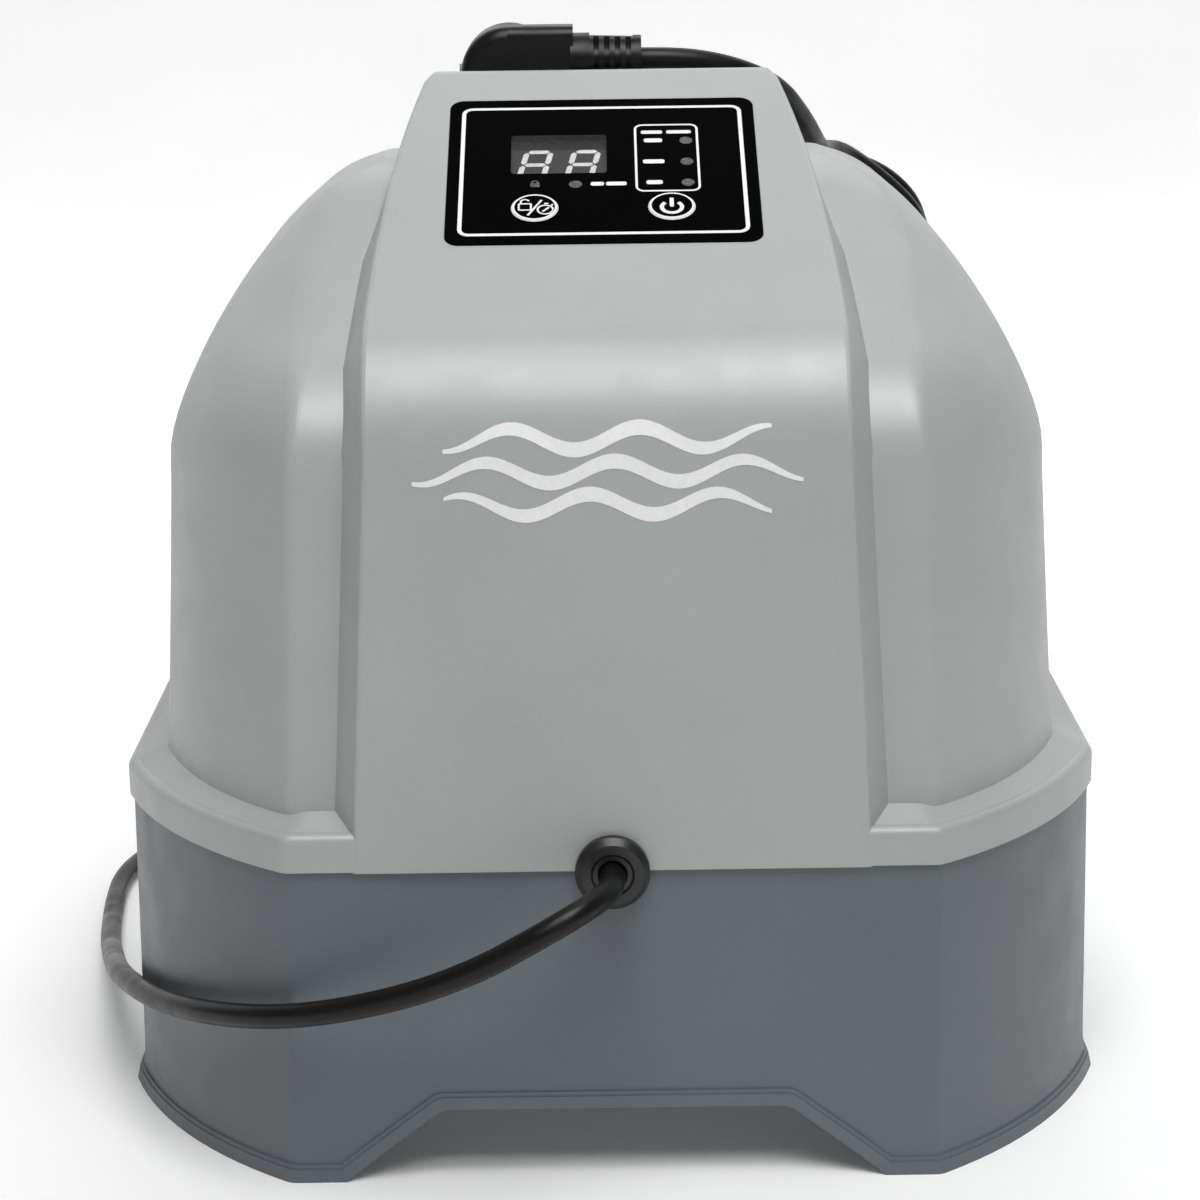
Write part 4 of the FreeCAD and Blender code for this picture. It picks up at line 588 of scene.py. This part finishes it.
def make_panel(ink, lit, shade, materials):
    black = materials["overlay_black"]
    frame_line = stroke(rounded_rect(0, 0, 96.4, 77.4, 3.2), 1.4, closed=True)
    panel_print("panel_frame_line", frame_line, ink, OVERLAY_TOP)
    panel_print("salt_lamp_frame", salt_panel(), ink, OVERLAY_TOP)
    panel_print("flow_lamp_label", [bar(-1.9, -9.1, 4.6, 2.2), bar(4.6, -9.1, 7.0, 2.2)], ink, OVERLAY_TOP)
    panel_print("lock_lamp_mask", [arc(*LOCK_LAMP, LAMP_HOLE, 0, 360, 32)[:-1]], black, OVERLAY_TOP)
    panel_print("lock_lamp_symbol", padlock(*LOCK_LAMP), materials["lamp_plastic"], OVERLAY_TOP + INK)
    for name, u, icon in (("lock_timer", LOCK_U, lock_timer_icon), ("power", POWER_U, power_icon)):
        body = name + "_button"
        panel_print(f"{name}_icon", icon(u, BUTTON_ROW), ink, BUTTON_FACE, body)
        button_ring(f"{name}_ring", u, ink, body)
    digits = [shape for u, v in DIGIT_PLACES for shape in seven_segments(u, v, *DIGIT_SIZE)]
    panel_print("display_digits", digits, lit, DISPLAY_FACE, high=0.12)
    # a dark strip laid over the top of the display's face, above the digits: painted shade, darker than the
    # face below it
    panel_print("display_painted_shade", [rounded_rect(WINDOW_U, 17.5, 33.8, 3.9, 0.2, 2)], shade, DISPLAY_FACE)
    panel_print("window_corners", corner_fillers(WINDOW_U, WINDOW_V, *WINDOW_SIZE, 1.5), black,
                OVERLAY_TOP - 0.11, high=0.11)


# ---------------------------------------------------------------- front decal
DECAL_Z = 239.0
DECAL_ROWS = ((10.5, 52.0), (0.0, 62.0), (-10.5, 52.0))     # each wave's rise and half length
WAVE_LENGTH, WAVE_HEIGHT, WAVE_SHIFT = 41.0, 3.4, 8.0
WAVE_HALF_WIDTH = 2.4
DECAL_STEPS = 96


def hood_surface():
    """A tree for finding the hood's outside."""
    mesh = NODES["hood_shell"].data
    verts = [v.co.copy() for v in mesh.vertices]
    return BVHTree.FromPolygons(verts, [tuple(p.vertices) for p in mesh.polygons])


def make_decal(ink, surface):
    """Three waves in white ink across the front, laid on the hood's own surface."""
    verts, faces = [], []
    for row, (rise, reach) in enumerate(DECAL_ROWS):
        line = []
        for i in range(DECAL_STEPS + 1):
            x = -reach + 2 * reach * i / DECAL_STEPS
            wave = WAVE_HEIGHT * math.sin(2 * math.pi * (x + WAVE_SHIFT * row) / WAVE_LENGTH)
            taper = 1.0 - 0.75 * abs(x / reach) ** 3
            line.append((x, DECAL_Z + rise + wave, WAVE_HALF_WIDTH * taper))
        for x, z, half in line:
            for side in (1, -1):
                hit, normal, _, _ = surface.ray_cast(hull(x, -220, z + side * half), Vector((0, 1, 0)))
                outward = normal if normal.y < 0 else -normal
                verts += [hit - outward * 0.0001, hit + outward * 0.00016]
        start = len(verts) - 4 * len(line)
        for i in range(DECAL_STEPS):
            a, b = start + 4 * i, start + 4 * (i + 1)
            faces += [[a + 1, b + 1, b + 3, a + 3], [a, a + 2, b + 2, b], [a, b, b + 1, a + 1],
                      [a + 2, a + 3, b + 3, b + 2]]
        faces += [[start, start + 1, start + 3, start + 2],
                  [start + 4 * DECAL_STEPS + k for k in (0, 2, 3, 1)]]
    return add_mesh("front_decal", verts, faces, ink, HOUSING)


# ---------------------------------------------------------------- stage
FLOOR_GLOW = 0.44               # the backdrop is lit from behind, more the further back
NEAR_GLOW = 0.40                # and the floor grows paler again far in front of the object


def make_stage():
    m = Nodes("floor")
    tone = m.ramp(m.noise(3.0, 4.0), 0.3, 0.7)
    shade = m.mix(tone, grey(250), grey(254))
    parts = m.tree.nodes.new("ShaderNodeSeparateXYZ")
    m.join(m.place, parts.inputs[0])
    glow = m.add("ShaderNodeMath")
    m.join(m.ramp(parts.outputs["Y"], -0.3, 0.8, 0.0, FLOOR_GLOW), glow.inputs[0])
    m.join(m.ramp(parts.outputs["Y"], -1.2, -3.0, 0.0, NEAR_GLOW), glow.inputs[1])
    m.set(Base_Color=shade, Roughness=0.7, Emission_Color=shade, Emission_Strength=glow.outputs[0])
    mesh = bpy.data.meshes.new("floor")
    size, front, back, curve_steps = 6.0, 14.0, 2.2, 16
    profile = [(-front, 0.0), (back, 0.0)]
    for i in range(1, curve_steps + 1):
        angle = math.pi / 2 * i / curve_steps
        profile.append((back + 1.2 * math.sin(angle), 1.2 - 1.2 * math.cos(angle)))
    profile.append((back + 1.2, size))
    verts = [(side * max(size, -y), y, z) for y, z in profile for side in (-1, 1)]
    faces = [[2 * i, 2 * i + 1, 2 * i + 3, 2 * i + 2] for i in range(len(profile) - 1)]
    mesh.from_pydata(verts, [], faces)
    for polygon in mesh.polygons:
        polygon.use_smooth = True
    mesh.materials.append(m.material)
    floor = bpy.data.objects.new("floor", mesh)
    bpy.context.scene.collection.objects.link(floor)


def add_lamp(name, place, target, size, power):
    data = bpy.data.lights.new(name, "AREA")
    data.shape = "RECTANGLE"
    data.size, data.size_y = size
    data.energy = power
    lamp = bpy.data.objects.new(name, data)
    lamp.location = place
    lamp.rotation_euler = (Vector(target) - Vector(place)).to_track_quat("-Z", "Y").to_euler()
    bpy.context.scene.collection.objects.link(lamp)


def make_lights():
    """Two broad lamps above and before the object, two that lift the backdrop and the ridge, and an even
    pale surround."""
    bpy.context.scene.view_settings.view_transform = "Standard"
    world = bpy.data.worlds.new("studio")
    world.use_nodes = True
    background = world.node_tree.nodes["Background"]
    background.inputs["Color"].default_value = (1.0, 1.0, 1.0, 1.0)
    background.inputs["Strength"].default_value = 0.17
    bpy.context.scene.world = world
    add_lamp("key", (0.15, -0.95, 1.65), (0, -0.05, 0.25), (1.1, 0.9), 18.6)
    add_lamp("overhead", (0.10, -0.45, 1.85), (0, -0.05, 0.25), (1.1, 0.9), 8.5)
    add_lamp("rear", (0.2, 1.1, 1.5), (0, 0, 0.3), (1.4, 0.6), 2.8)
    add_lamp("backdrop", (0, 1.5, 2.4), (0, 2.2, 0), (3.0, 1.2), 5.0)


# ---------------------------------------------------------------- the object
make_camera()
materials = make_materials()
dress_nodes(materials)
make_cord(materials["cord_rubber"])
white_ink = printed("white_ink", 238)
lit_segment = glowing("lit_segment", grey(232), 1.6)
# the material of the painted shade across the top of the display's face
display_painted_shade = moulded("display_painted_shade", grey(40), 0.5, 2400.0, 0.00001)
make_panel(white_ink, lit_segment, display_painted_shade, materials)
make_decal(white_ink, hood_surface())
make_stage()
make_lights()
